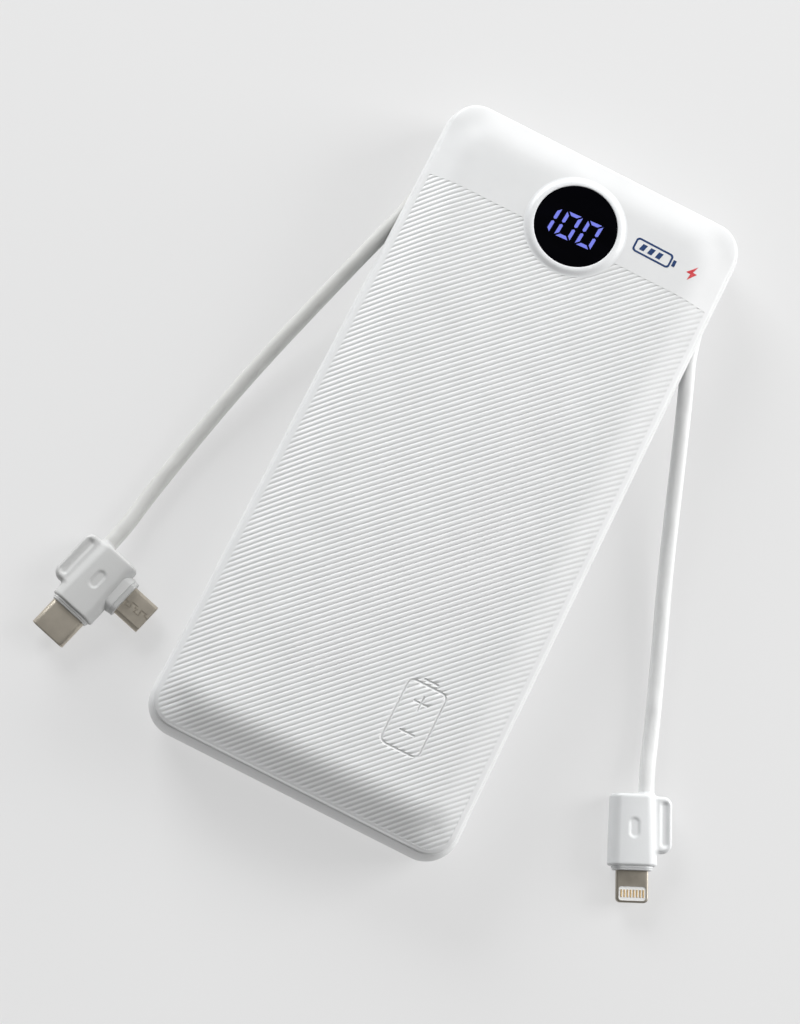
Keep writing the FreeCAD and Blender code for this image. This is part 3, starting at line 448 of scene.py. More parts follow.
# The routes' points are the same as the CAD tubes', from the gland to the plug.
LEAD_ROUTES = {
    "left": [
        (-33.10, 53.50, 8.00),
        (-33.94, 47.56, 8.00),
        (-36.20, 40.30, 7.80),
        (-40.70, 25.00, 6.60),
        (-47.35, 1.90, 3.70),
        (-51.75, -17.30, 2.00),
        (-54.80, -33.40, 1.75),
        (-55.80, -41.47, 2.80),
        (-57.00, -45.80, 2.80),
    ],
    "right": [
        (33.10, 53.50, 8.00),
        (34.05, 47.50, 8.00),
        (36.80, 40.40, 7.80),
        (41.85, 26.20, 6.50),
        (50.00, 3.40, 3.40),
        (57.40, -15.80, 2.00),
        (62.90, -31.20, 1.75),
        (64.70, -37.48, 2.80),
        (66.57, -41.58, 2.80),
    ],
}
LEAD_WIDTH = 3.3
LEAD_THICKNESS = 2.9
LEAD_OFFSET = {"left": 3.5, "right": 2.9}  # lead to plug centreline, towards the tab
MIRROR = {"left": -1, "right": 1}  # the tab's side in a plug's own frame


def centreline(side):
    """Points along the smooth curve that the route's points control."""
    curve = bpy.data.curves.new("route", "CURVE")
    curve.dimensions = "3D"
    curve.resolution_u = 14
    spline = curve.splines.new("NURBS")
    spline.points.add(len(LEAD_ROUTES[side]) - 1)
    for control, point in zip(spline.points, LEAD_ROUTES[side]):
        control.co = (*(Vector(point) * MM), 1)
    spline.order_u = 3
    spline.use_endpoint_u = True
    holder = in_scene("route", curve)
    mesh = bpy.data.meshes.new_from_object(holder)
    points = [vertex.co / MM for vertex in mesh.vertices]
    bpy.data.objects.remove(holder)
    bpy.data.meshes.remove(mesh)
    return points


def lead(side):
    """The oval lead, with the shallow moulded marks that repeat along it."""
    path = centreline(side)
    travelled = 0.0
    rings = []
    steps = 28
    for index, point in enumerate(path):
        before = path[max(index - 1, 0)]
        after = path[min(index + 1, len(path) - 1)]
        travelled += (point - before).length
        forward = (after - before).normalized()
        across = forward.cross(UP).normalized()
        upward = across.cross(forward)
        ring = []
        for step in range(steps):
            angle = 2 * math.pi * step / steps
            wide = math.copysign(abs(math.cos(angle)) ** 0.9, math.cos(angle)) * LEAD_WIDTH / 2
            tall = math.copysign(abs(math.sin(angle)) ** 0.9, math.sin(angle)) * LEAD_THICKNESS / 2
            ring.append(point + across * wide + upward * (tall + mark_height(travelled, angle)))
        rings.append(ring)
    shape = skin(rings)
    # The left lead takes the darker rubber copy, painted shade, and the right one the lighter copy, painted
    # light.
    piece = new_piece(f"lead_{side}_tube", *shape, f"lead_{side}", "lead_white", [f"lead_{side}"])
    length = sum((b - a).length for a, b in zip(path, path[1:]))
    return piece, path, length


MARK_PITCH = 20.0
MARK_LENGTH = 4.8


def mark_height(travelled, angle):
    """How far a mark stands proud at this distance along the lead, on its upper side."""
    along = abs((travelled + 8) % MARK_PITCH - MARK_PITCH / 2) / (MARK_LENGTH / 2)
    if along > 1 or math.sin(angle) < 0.75:
        return 0.0
    return 0.10 * min(1.0, 3 * (1 - along)) * (math.sin(angle) - 0.75) / 0.25


def plug_frame(side):
    """+X out of the plug's nose, +Z up, the origin in the middle of its rear face."""
    before, entry = (Vector(point) for point in LEAD_ROUTES[side][-2:])
    forward = (entry - before).normalized()
    across = Vector((-forward.y, forward.x, 0))
    matrix = Matrix((forward, across, UP)).transposed().to_4x4()
    matrix.translation = entry - across * MIRROR[side] * LEAD_OFFSET[side]
    return matrix


leads = {side: lead(side) for side in MIRROR}

# ---------------------------------------------------------------- lower case

case_high = box_mm("base_shell")[1]
HALF_WIDTH = case_high.x
HALF_LENGTH = case_high.y
SEAM = case_high.z
CORNER = 7.0
WAIST = 7.2  # height at which the walls are widest
SEAM_INSET = 0.8
UNDERSIDE_RADIUS = 5.5
WALL = 1.6
FLOOR = 1.4
CHANNEL_HEIGHT = 8.0
MOUTH_LENGTH = 24.5  # the plug pocket's, along the wall


def case_ring(inset, height, steps=16):
    """The case's outline, drawn in by inset, at a height."""
    flat, _ = rounded_ring(HALF_WIDTH - inset, HALF_LENGTH - inset, max(CORNER - inset, 1), steps)
    return level(flat, height)


def wall_profile():
    """(inset, height) up the outside, over the rim and down the inside to the floor."""
    profile = [(UNDERSIDE_RADIUS * late, UNDERSIDE_RADIUS * early) for early, late in quarter(12, 0)]
    for step in range(8):
        height = WAIST + (SEAM - 0.15 - WAIST) * step / 7
        profile.append((SEAM_INSET * ((height - WAIST) / (SEAM - WAIST)) ** 2, height))
    edge = profile[-1][0]
    profile += [(edge + 0.03, SEAM - 0.08), (edge + 0.07, SEAM - 0.02), (edge + 0.13, SEAM)]
    inner = SEAM_INSET + WALL
    profile += [(inner, SEAM), (inner, SEAM - 0.6), (inner, FLOOR + 3)]
    profile += [(inner + 3 * early, FLOOR + 3 * late) for early, late in quarter(5)]
    return profile


def facing(direction):
    """A matrix that stands a shape's +Z along direction, level with the case."""
    forward = Vector(direction)
    across = UP.cross(forward)
    return Matrix((across, UP, forward)).transposed().to_4x4()


def opening(centre, direction, half_wide, half_tall, radius, flare=0.3, depth=3.2):
    """A cutter through the wall whose mouth, at centre, opens out softly by flare."""
    flat, normals = rounded_ring(half_wide, half_tall, radius, 8)
    rings = [level(flat, -depth), level(flat, -flare)]
    rings += [level(flat + normals * (flare * early), -flare * late) for early, late in quarter(3)]
    rings.append(level(flat + normals * flare, 1.5))
    matrix = Matrix.Translation(Vector(centre)) @ facing(direction)
    return moved(skin(rings), matrix)


def node_mouth(node, direction, grow, radius):
    """An opening round the outer end of a CAD node, grow wider on each side."""
    low, high = box_mm(node)
    half = (high - low) / 2
    centre = (low + high) / 2
    wide = half.x if direction[1] else half.y
    centre = Vector(
        (HALF_WIDTH * direction[0], centre.y, centre.z)
        if direction[0]
        else (centre.x, HALF_LENGTH * direction[1], centre.z)
    )
    return opening(centre, direction, wide + grow, half.z + grow, radius)


def lower_case():
    piece = new_piece(
        "case_lower",
        *skin([case_ring(*point) for point in wall_profile()]),
        "shell",
        "shell_white",
        ["base_shell"],
    )
    cutters = [
        node_mouth("type_a_shell", (0, 1, 0), 0.25, 0.6),
        node_mouth("type_c_shell", (0, 1, 0), 0.28, 1.85),
    ]
    button_low, button_high = box_mm("power_button")
    button = Vector((HALF_WIDTH, (button_low.y + button_high.y) / 2, WAIST + 0.3))
    cutters.append(opening(button, (1, 0, 0), 3.15, 1.75, 1.7, 0.2))
    slot_end = box_mm("lead_gland_right")[1].y + 0.2
    mouth_low = box_mm("side_liner_right")[0].y + 1.1
    mouth_high = mouth_low + MOUTH_LENGTH
    for sign in MIRROR.values():
        for low, high, half_tall in ((mouth_high - 3, slot_end, 2.15), (mouth_low, mouth_high, 3.1)):
            centre = (sign * HALF_WIDTH, (low + high) / 2, CHANNEL_HEIGHT)
            cutters.append(opening(centre, (sign, 0, 0), (high - low) / 2, half_tall, 0.9, 0.35))
    cut_away(piece, cutters, 32)


lower_case()

# ---------------------------------------------------------------- cover

COVER_TOP = box_mm("top_cover")[1].z
# Height of the shoulder's outer edge, and its width, on each side of the cover.
NEAR_EDGE, SIDE_EDGE, FAR_EDGE = 13.25, 13.8, 14.3
NEAR_SHOULDER, SIDE_SHOULDER, FAR_SHOULDER = 9.4, 8.6, 7.5
RIM_FOOT = 13.05
RIM_INSET = 1.45
SHOULDER_STRAIGHT = 0.45  # share of the shoulder's width that slopes evenly
SOFT_CORNER = 12.0  # the shoulder's inner edge turns the corners on this radius
COVER_SKIN = 1.4
DISPLAY_HOLE = 9.3  # radius, hidden under the ring
RIB_EDGE_X = 32.85
RIB_EDGE_NEAR = -73.9
RIB_EDGE_FAR = 55.2
RIB_CORNER = 4.6
RIB_PITCH = 1.0
RIB_DEPTH = 0.14
RIB_FADE = 0.35  # length in which a groove runs out at the border
RIB_PHASES = 6  # lines of the mesh to each rib
RIB_STEPS = 46
DISPLAY_Y = (box_mm("display_lens")[0].y + box_mm("display_lens")[1].y) / 2
ROOT_2 = math.sqrt(2)


def rim_distance(x, y, corner):
    """How far in from the case's outline a point is, if its corners had this radius."""
    past_x = np.abs(x) - (HALF_WIDTH - corner)
    past_y = np.abs(y) - (HALF_LENGTH - corner)
    reach = np.hypot(np.maximum(past_x, 0), np.maximum(past_y, 0))
    lean = np.where(reach > 0, np.maximum(past_y, 0) / np.maximum(reach, 1e-9), 0)
    return corner - reach - np.minimum(np.maximum(past_x, past_y), 0), lean


def cover_height(x, y):
    """The cover's smooth surface: a flat top that falls away over soft shoulders."""
    x, y = np.asarray(x, float), np.asarray(y, float)
    sharp, _ = rim_distance(x, y, CORNER)
    soft, lean = rim_distance(x, y, SOFT_CORNER)
    blend = np.clip((sharp - RIM_INSET) / (CORNER - RIM_INSET), 0, 1)
    blend = blend * blend * (3 - 2 * blend)
    inset = sharp * (1 - blend) + soft * blend
    end = lean**2
    edge = SIDE_EDGE + (np.where(y > 0, FAR_EDGE, NEAR_EDGE) - SIDE_EDGE) * end
    width = SIDE_SHOULDER + (np.where(y > 0, FAR_SHOULDER, NEAR_SHOULDER) - SIDE_SHOULDER) * end
    share = np.clip((inset - RIM_INSET) / width, 0, 1)
    slope = 2 / (1 + SHOULDER_STRAIGHT)
    rolled = 1 - slope * (1 - share) ** 2 / (2 * (1 - SHOULDER_STRAIGHT))
    return edge + (COVER_TOP - edge) * np.where(share < SHOULDER_STRAIGHT, slope * share, rolled)


def on_cover(outline, lift=0.0):
    """A ring of points on the cover's surface, or lift above it."""
    flat = np.array(outline, float)
    return np.column_stack([flat, cover_height(flat[:, 0], flat[:, 1]) + lift])


def rib_lines():
    """Where each line of the ribs' section starts and ends: (across, start, end, groove)."""
    near_left = Vector((-RIB_EDGE_X + RIB_CORNER, RIB_EDGE_NEAR + RIB_CORNER))
    near_right = Vector((RIB_EDGE_X - RIB_CORNER, RIB_EDGE_NEAR + RIB_CORNER))
    first = (near_right.y - near_right.x) / ROOT_2 - RIB_CORNER
    last = (RIB_EDGE_FAR + RIB_EDGE_X) / ROOT_2
    lines = []
    for rib in range(math.floor(first / RIB_PITCH), math.ceil(last / RIB_PITCH) + 1):
        for step in range(RIB_PHASES):
            across = (rib + step / RIB_PHASES) * RIB_PITCH
            if not first + 0.02 < across < last - 0.02:
                continue
            start = max(across - RIB_EDGE_X * ROOT_2, RIB_EDGE_NEAR * ROOT_2 - across)
            end = min(across + RIB_EDGE_X * ROOT_2, RIB_EDGE_FAR * ROOT_2 - across)
            offset = across - (near_left.y - near_left.x) / ROOT_2
            if abs(offset) < RIB_CORNER / ROOT_2:
                start = (near_left.x + near_left.y) / ROOT_2 - math.sqrt(RIB_CORNER**2 - offset**2)
            offset = across - (near_right.y - near_right.x) / ROOT_2
            if offset < -RIB_CORNER / ROOT_2:
                chord = math.sqrt(RIB_CORNER**2 - offset**2)
                middle = (near_right.x + near_right.y) / ROOT_2
                start, end = middle - chord, middle + chord
            groove = RIB_DEPTH * (1 - math.sin(math.pi * step / RIB_PHASES) ** 0.8)
            lines.append((across, start, end, groove))
    return lines


def far_outline(share):
    """Anchor and normal on the outline, from the right side round the far end to the left."""
    rise = HALF_LENGTH - CORNER - RIB_EDGE_FAR
    turn = math.pi / 2 * CORNER
    top = 2 * (HALF_WIDTH - CORNER)
    walked = share * (2 * rise + 2 * turn + top)
    corner_x, corner_y = HALF_WIDTH - CORNER, HALF_LENGTH - CORNER
    if walked > rise + turn + top / 2:
        anchor, normal = far_outline(1 - share)
        return (-anchor[0], anchor[1]), (-normal[0], normal[1])
    if walked < rise:
        return (HALF_WIDTH, RIB_EDGE_FAR + walked), (1, 0)
    if walked < rise + turn:
        angle = (walked - rise) / CORNER
        normal = (math.cos(angle), math.sin(angle))
        return (corner_x + CORNER * normal[0], corner_y + CORNER * normal[1]), normal
    return (corner_x - (walked - rise - turn), HALF_LENGTH), (0, 1)


def outline_beside(x, y):
    """The anchor and normal on the case's outline that a rib zone's edge point faces."""
    if y > RIB_EDGE_FAR - 1e-6:
        return far_outline((RIB_EDGE_X - x) / (2 * RIB_EDGE_X))
    core_x = max(-(HALF_WIDTH - CORNER), min(HALF_WIDTH - CORNER, x))
    core_y = max(-(HALF_LENGTH - CORNER), y)
    away = Vector((x - core_x, y - core_y)).normalized()
    return (core_x + CORNER * away.x, core_y + CORNER * away.y), (away.x, away.y)


def rib_zone(lines, count):
    """The grooved surface, each line with count points, its faces and the loop round its edge."""
    share = 0.5 - 0.5 * np.cos(np.linspace(0, math.pi, count))
    share = 0.55 * share + 0.45 * np.linspace(0, 1, count)
    points, faces = [], []
    for across, start, end, groove in lines:
        along = start + (end - start) * share
        along[1] = start + min(RIB_FADE, 0.5 * (along[2] - start))
        along[-2] = end - min(RIB_FADE, 0.5 * (end - along[-3]))
        x, y = (along - across) / ROOT_2, (along + across) / ROOT_2
        depth = np.full(count, groove)
        depth[0] = 0
        if y[-1] < RIB_EDGE_FAR - 0.01:
            depth[-1] = 0
        points.append(np.column_stack([x, y, cover_height(x, y) - depth]))
    for index in range(len(lines) - 1):
        faces += bridge(index * count, (index + 1) * count, count, closed=False)
    last = (len(lines) - 1) * count
    loop = list(range(count))
    loop += [index * count + count - 1 for index in range(1, len(lines) - 1)]
    loop += list(range(last + count - 1, last - 1, -1))
    loop += [index * count for index in range(len(lines) - 2, 0, -1)]
    return np.concatenate(points), faces, loop


def border_rings(inner):
    """Rings from the ribs' edge over the border, down the rim and up inside the cover."""
    anchors, normals = (np.array(part) for part in zip(*(outline_beside(x, y) for x, y in inner)))
    rings = []
    rim = anchors - normals * RIM_INSET
    for step in range(14):
        reach = math.sin(math.pi / 2 * step / 13)
        rings.append(on_cover(inner * (1 - reach) + rim * reach))
    edge = rings[-1][:, 2]
    for inset, rise in ((1.28, 0.88), (1.13, 0.71), (1.02, 0.50), (0.95, 0.28), (0.92, 0.10), (0.97, 0)):
        rings.append(np.column_stack([anchors - normals * inset, RIM_FOOT + (edge - RIM_FOOT) * rise]))
    for inset, height in ((2.6, RIM_FOOT), (3.6, 13.3), (6.4, COVER_TOP - COVER_SKIN)):
        rings.append(level(anchors - normals * inset, height))
    return rings


def cover():
    """One closed shell: ribs, the smooth border round them, the rim and the inside."""
    ribs, faces, loop = rib_zone(rib_lines(), RIB_STEPS + 1)
    rings = border_rings(ribs[loop][:, :2])
    size = len(loop)
    start = len(ribs)
    for i in range(size):
        after = (i + 1) % size
        faces.append((start + i, start + after, loop[after], loop[i]))
    for index in range(len(rings) - 1):
        faces += bridge(start + (index + 1) * size, start + index * size, size)
    inside = start + (len(rings) - 1) * size
    faces.append(tuple(range(inside + size - 1, inside - 1, -1)))
    points = np.concatenate([ribs, *rings])
    piece = new_piece("cover_ribbed", points, faces, "cover", "shell_white", ["top_cover"], crease=50)
    hole = disc([(DISPLAY_HOLE, COVER_TOP - 4), (DISPLAY_HOLE, COVER_TOP + 2)], (0, DISPLAY_Y))
    cut_away(piece, [hole, mark_cutter()], 50)


def joined(shapes):
    """Several closed shapes as one set of points and faces."""
    points, faces, total = [], [], 0
    for shape_points, shape_faces in shapes:
        points.append(np.asarray(shape_points, float))
        faces += [tuple(index + total for index in face) for face in shape_faces]
        total += len(shape_points)
    return np.concatenate(points), faces


MARK_CENTRE = (15.4, -51.4)
MARK_HALF = (4.3, 7.2)
MARK_LINE = 0.64
MARK_DEPTH = 0.26


def groove_along(half_x, half_y, radius, centre):
    """A cutter for a rounded rectangle's outline, narrower at the bottom of its groove."""
    flat, normals = rounded_ring(half_x, half_y, radius, 8)
    flat = flat + np.array(centre)
    low, high = COVER_TOP - MARK_DEPTH, COVER_TOP + 0.5
    wide, narrow = MARK_LINE / 2, MARK_LINE / 6
    outer_side = [(wide, high), (wide, COVER_TOP), (narrow, low)]
    section = outer_side + [(-side, height) for side, height in reversed(outer_side)]
    points, faces = skin([level(flat + normals * side, height) for side, height in section], caps=False)
    return points, faces + bridge(5 * len(flat), 0, len(flat))


def groove_inside(outline_at, centre):
    """A cutter for a shape whose outline_at gives its outline for half a line's width."""
    low, high = COVER_TOP - MARK_DEPTH, COVER_TOP + 0.5
    rings = []
    for half, height in ((MARK_LINE / 6, low), (MARK_LINE / 2, COVER_TOP), (MARK_LINE / 2, high)):
        rings.append(level(np.array(outline_at(half)) + np.array(centre), height))
    return skin(rings)


def minus_outline(half, arm=1.7):
    return [(-arm, -half), (arm, -half), (arm, half), (-arm, half)]


def plus_outline(half, arm=1.7):
    quarter = [(half, -arm), (half, -half), (arm, -half)]
    corners = []
    for cos, sin in ((1, 0), (0, 1), (-1, 0), (0, -1)):
        corners += [(x * cos - y * sin, x * sin + y * cos) for x, y in quarter]
    return corners


def mark_cutter():
    """A plain battery outline, terminal, plus and minus, as one tool for the cover."""
    x, y = MARK_CENTRE
    half_y = MARK_HALF[1]
    shapes = [
        groove_along(*MARK_HALF, 1.4, MARK_CENTRE),
        groove_inside(minus_outline, (x, y + half_y + 1.0)),
        groove_inside(plus_outline, (x, y + half_y / 2 - 0.3)),
        groove_inside(minus_outline, (x, y - half_y / 2 + 0.3)),
    ]
    return joined(shapes)


cover()

# ---------------------------------------------------------------- printed pictogram

PRINT_CENTRE = (17.2, 61.3)
PRINT_LEAN = math.radians(-1)
PRINT_LIFT = 0.025  # the ink's thickness
PRINT_ROOT = -0.05  # how far the film goes down into the cover


def decal(outline):
    """A thin film of ink in the outline's shape, lying on the cover."""
    return skin([on_cover(outline, PRINT_ROOT), on_cover(outline, PRINT_LIFT)])


def printed_mark():
    """A small battery pictogram in two inks beside the display."""

    def placed(points):
        turn = Matrix.Rotation(PRINT_LEAN, 2)
        return [tuple(turn @ Vector(point) + Vector(PRINT_CENTRE)) for point in points]

    half_wide, half_tall, line, bar_half = 4.4, 1.7, 0.42, 0.75
    outer, _ = rounded_ring(half_wide, half_tall, 0.8, 6)
    inner, _ = rounded_ring(half_wide - line, half_tall - line, 0.5, 6)
    outer, inner = placed(outer), placed(inner)
    rings = [
        on_cover(outer, PRINT_ROOT),
        on_cover(outer, PRINT_LIFT),
        on_cover(inner, PRINT_LIFT),
        on_cover(inner, PRINT_ROOT),
    ]
    points, faces = skin(rings, caps=False)
    size = len(rings[0])
    shapes = [(points, faces + bridge(3 * size, 0, size))]
    terminal = [(4.7, -bar_half), (5.4, -bar_half), (5.4, bar_half), (4.7, bar_half)]
    shapes.append(decal(placed(terminal)))
    for x in (-3.0, -1.1, 0.8):
        bar = [(x, -bar_half), (x + 1.05, -bar_half), (x + 1.45, bar_half), (x + 0.4, bar_half)]
        shapes.append(decal(placed(bar)))
    new_piece("print_battery", *joined(shapes), "navy")
    bolt = [(9.0, -1.9), (10.55, 0.25), (9.55, 0.25), (10.1, 1.9), (8.15, -0.35), (9.2, -0.35)]
    new_piece("print_bolt", *decal(placed(bolt)), "crimson")


printed_mark()

# ---------------------------------------------------------------- display

bezel_high = box_mm("display_bezel")[1]
lens_low, lens_high = box_mm("display_lens")
LENS_RADIUS = (lens_high.x - lens_low.x) / 2 + 0.12
LENS_TOP = bezel_high.z - 0.12
BEZEL_FLARE = 2.2  # where the ring runs out into the cover, outside the lens
BEZEL_LIP = 0.55
DISPLAY_CENTRE = (0.0, DISPLAY_Y)


def bezel(steps=160):
    """The raised ring, flared softly into the cover outside and stepped down to the lens."""
    circle = unit_circle(steps)
    top = bezel_high.z

    def ring(outside, rise, drop=0.0):
        """A circle outside the lens, rise of the way from the cover to the ring's top."""
        flat = circle * (LENS_RADIUS + outside) + np.array(DISPLAY_CENTRE)
        height = cover_height(flat[:, 0], flat[:, 1])
        return np.column_stack([flat, height + (top - height) * rise - drop])

    rings = [ring(0.2, 0, 1.0), ring(BEZEL_FLARE, 0, 0.4)]
    for step in range(9):
        outside = BEZEL_FLARE + (BEZEL_LIP - BEZEL_FLARE) * step / 8
        rings.append(ring(outside, 0.5 - 0.5 * math.cos(math.pi * step / 8)))
    for outside, drop in ((0.26, 0), (0.13, 0.02), (0.06, 0.07), (0.03, 0.15), (0.03, 1.4)):
        rings.append(ring(outside, 1, drop))
    points, faces = skin(rings, caps=False)
    faces += bridge((len(rings) - 1) * steps, 0, steps)
    new_piece("bezel_ring", points, faces, "bezel", "bezel_white", ["display_bezel"], crease=60)


def lens():
    """The black window, its rim eased all round."""
    edge = 0.06
    profile = [(LENS_RADIUS, lens_low.z), (LENS_RADIUS, LENS_TOP - edge)]
    profile += [(LENS_RADIUS - edge * early, LENS_TOP - edge * late) for early, late in quarter(4)]
    new_piece("lens_disc", *disc(profile, DISPLAY_CENTRE, 160), "lens", "lens_black", ["display_lens"])


DIGIT_HALF_WIDE = 1.42
DIGIT_HALF_TALL = 2.7
DIGIT_DROP = 0.6
DIGIT_SLANT = math.tan(math.radians(7.5))
DIGIT_TURN = math.radians(3)
SEGMENT_HALF = 0.37  # half a segment's thickness
SEGMENT_GAP = 0.2
# Each lit segment's side of the digit, (across, up): 0 across is a level one.
ONE = ((1, 1), (1, -1))
ZERO = ((0, 1), (1, 1), (1, -1), (0, -1), (-1, -1), (-1, 1))
READING = ((-6.25, ONE), (-1.45, ZERO), (3.35, ZERO))


def segment(side, up):
    """A bar mitred where it meets the next one, and pointed at the digit's waist."""
    if side == 0:
        outer = up * (DIGIT_HALF_TALL + SEGMENT_HALF)
        inner = up * (DIGIT_HALF_TALL - SEGMENT_HALF)
        long = DIGIT_HALF_WIDE + SEGMENT_HALF - 2 * SEGMENT_GAP
        short = long - 2 * SEGMENT_HALF
        return [(-long, outer), (long, outer), (short, inner), (-short, inner)]
    middle = side * DIGIT_HALF_WIDE
    outer, inner = middle + side * SEGMENT_HALF, middle - side * SEGMENT_HALF
    far = up * (DIGIT_HALF_TALL + SEGMENT_HALF - SEGMENT_GAP)
    waist = up * (SEGMENT_GAP + 0.7 * SEGMENT_HALF)
    far_inner = far - up * 2 * SEGMENT_HALF
    return [(outer, far), (outer, waist), (middle, up * SEGMENT_GAP), (inner, waist), (inner, far_inner)]


def digits():
    """The charge reading, 100 percent, as lit seven-segment digits."""
    turn = Matrix.Rotation(DIGIT_TURN, 2)
    shapes = []
    for centre, lit in READING:
        for side, up in lit:
            corners = []
            for x, y in segment(side, up):
                leaning = Vector((centre + x + y * DIGIT_SLANT, y - DIGIT_DROP))
                corners.append(turn @ leaning + Vector(DISPLAY_CENTRE))
            flat = np.array(corners)
            shapes.append(skin([level(flat, LENS_TOP - 0.3), level(flat, LENS_TOP + 0.006)]))
    new_piece("digits_lit", *joined(shapes), "digit", "display_glow", ["display_segments"])


bezel()
lens()
digits()

# ---------------------------------------------------------------- moulded plugs
# A soft moulded form is a distance field: boxes joined and carved with small blends.


def rounded_plate(across, up, half_across, half_up, radius):
    """Distance from a rounded rectangle in one plane."""
    past_across = np.abs(across) - half_across + radius
    past_up = np.abs(up) - half_up + radius
    outside = np.hypot(np.maximum(past_across, 0), np.maximum(past_up, 0))
    return outside + np.minimum(np.maximum(past_across, past_up), 0) - radius


def padded_out(flat, along, half_along, edge):
    """Distance from a flat outline's distance, padded to both sides with eased rims."""
    past_flat = flat + edge
    past_along = np.abs(along) - half_along + edge
    outside = np.hypot(np.maximum(past_flat, 0), np.maximum(past_along, 0))
    return outside + np.minimum(np.maximum(past_flat, past_along), 0) - edge


def join(first, second, soft):
    """Both forms, with a fillet of about soft where they meet."""
    blend = np.maximum(soft - np.abs(first - second), 0) / soft
    return np.minimum(first, second) - blend * blend * soft / 4


def carve(form, tool, soft):
    """The form less the tool, with softened edges."""
    return -join(-form, tool, soft)


def moulded(field, low, high, cell=0.13):
    """The surface where a distance field is zero, as a closed mesh."""
    low, high = Vector(low), Vector(high)
    counts = [math.ceil((b - a) / cell) + 1 for a, b in zip(low, high)]
    axes = [a + cell * np.arange(n) for a, n in zip(low, counts)]
    x, y, z = np.meshgrid(*axes, indexing="ij")
    grid = openvdb.FloatGrid(3 * cell)
    grid.copyFromArray(np.clip(field(x, y, z), -3 * cell, 3 * cell).astype(np.float32))
    points, quads = grid.convertToQuads(0.0)
    return points * cell + np.array(low), [tuple(quad) for quad in quads.tolist()]


PLUG_LENGTH = 14.9
PLUG_HALF_WIDE = 5.2
PLUG_HALF_TALL = 2.8
TAB_REACH = 3.0
TAB_LENGTH = 11.8
TAB_START = 0.35
TAB_HALF_TALL = 1.75
COLLAR = 0.9
COLLAR_FRONT = PLUG_LENGTH + COLLAR


def housing_field(sign, lead_offset):
    """The grip: a round-sided block, a grooved finger tab and a thumb dimple each side."""

    def field(x, y, z):
        y = y * sign
        share = np.clip(x / PLUG_LENGTH, 0, 1)
        half_wide = PLUG_HALF_WIDE - 0.4 * (1 - share) ** 1.3
        crown = PLUG_HALF_TALL - 0.3 * np.clip(np.abs(y) / half_wide, 0, 1) ** 2
        block = rounded_plate(y, z, half_wide, crown, 2.3)
        form = padded_out(block, x - PLUG_LENGTH / 2, PLUG_LENGTH / 2, 0.8 - 0.3 * share)
        middle = TAB_START + TAB_LENGTH / 2
        outer = PLUG_HALF_WIDE + TAB_REACH
        tab = rounded_plate(x - middle, y - outer / 2, TAB_LENGTH / 2, outer / 2, 1.9)
        form = join(form, padded_out(tab, z, TAB_HALF_TALL, 0.8), 0.8)
        groove = rounded_plate(x - middle, y - outer + 1.7, TAB_LENGTH / 2 - 1.3, 0.75, 0.7)
        form = carve(form, padded_out(groove, np.abs(z) - TAB_HALF_TALL - 0.9, 1.25, 0.6), 0.6)
        dimple = rounded_plate(x - 7.1, y, 1.85, 0.85, 0.85)
        form = carve(form, padded_out(dimple, np.abs(z) - PLUG_HALF_TALL - 0.46, 0.62, 0.3), 0.6)
        neck = np.hypot(y - lead_offset, z) - (1.58 + 0.20 * np.clip(1 + x / 0.8, 0, 1) ** 2)
        return join(form, padded_out(neck, x, 0.8, 0.3), 0.5)

    return field


def housing(side):
    sign = MIRROR[side]
    tab = PLUG_HALF_WIDE + TAB_REACH + 0.5
    body = PLUG_HALF_WIDE + 0.5
    low = (-2, -tab if sign < 0 else -body, -PLUG_HALF_TALL - 0.5)
    high = (PLUG_LENGTH + 0.5, tab if sign > 0 else body, PLUG_HALF_TALL + 0.5)
    shape = moved(moulded(housing_field(sign, LEAD_OFFSET[side]), low, high), plug_frame(side))
    node = f"plug_housing_{side}"
    return new_piece(f"grip_{side}", *shape, f"plug_{side}", "plug_white", [node], crease=60)


# A shape whose outline lies across the plug: its height runs out of the nose.
ALONG_NOSE = Matrix(((0, 0, 1, 0), (1, 0, 0, 0), (0, 1, 0, 0), (0, 0, 0, 1)))


def side_nose(side, axial):
    """For the side plug: a shape's height runs away from the finger tab."""
    out = -MIRROR[side]
    return Matrix(((-out, 0, 0, axial), (0, 0, out, 0), (0, 1, 0, 0), (0, 0, 0, 1)))


def stepped_collar(half_wide, half_tall, radius, start, end):
    """A collar with a fine parting line round its middle."""
    flat, normals = rounded_ring(half_wide, half_tall, radius, 10)
    middle = (start + end) / 2
    rings = []
    for inset, height in (
        (0.0, start - 1.0),
        (0.0, middle - 0.08),
        (0.10, middle - 0.03),
        (0.12, middle + 0.05),
        (0.16, end - 0.18),
        (0.22, end - 0.06),
        (0.36, end),
    ):
        rings.append(level(flat - normals * inset, height))
    return skin(rings)


def sleeve(ring_at, start, end, thick, floor):
    """A sheet-metal tube: eased lip, thin wall, closed at the floor. ring_at gives an outline."""
    lip = thick * 0.45
    rings = [ring_at(0, start - 0.8), ring_at(0, end - lip)]
    rings += [ring_at(lip * early, end - lip * late) for early, late in quarter(3)]
    rings += [ring_at(thick - 0.05, end), ring_at(thick, end - 0.08), ring_at(thick, floor)]
    return skin(rings)


TYPE_C_HALF = (4.125, 1.2)
TYPE_C_REACH = 6.4
MICRO_REACH = 6.1
MICRO_AXIAL = 6.1
MICRO_ROOT = PLUG_HALF_WIDE + 1.7


def type_c_ring(inset, height):
    flat, _ = rounded_ring(TYPE_C_HALF[0] - inset, TYPE_C_HALF[1] - inset, TYPE_C_HALF[1] - 0.02 - inset, 12)
    return level(flat, height)


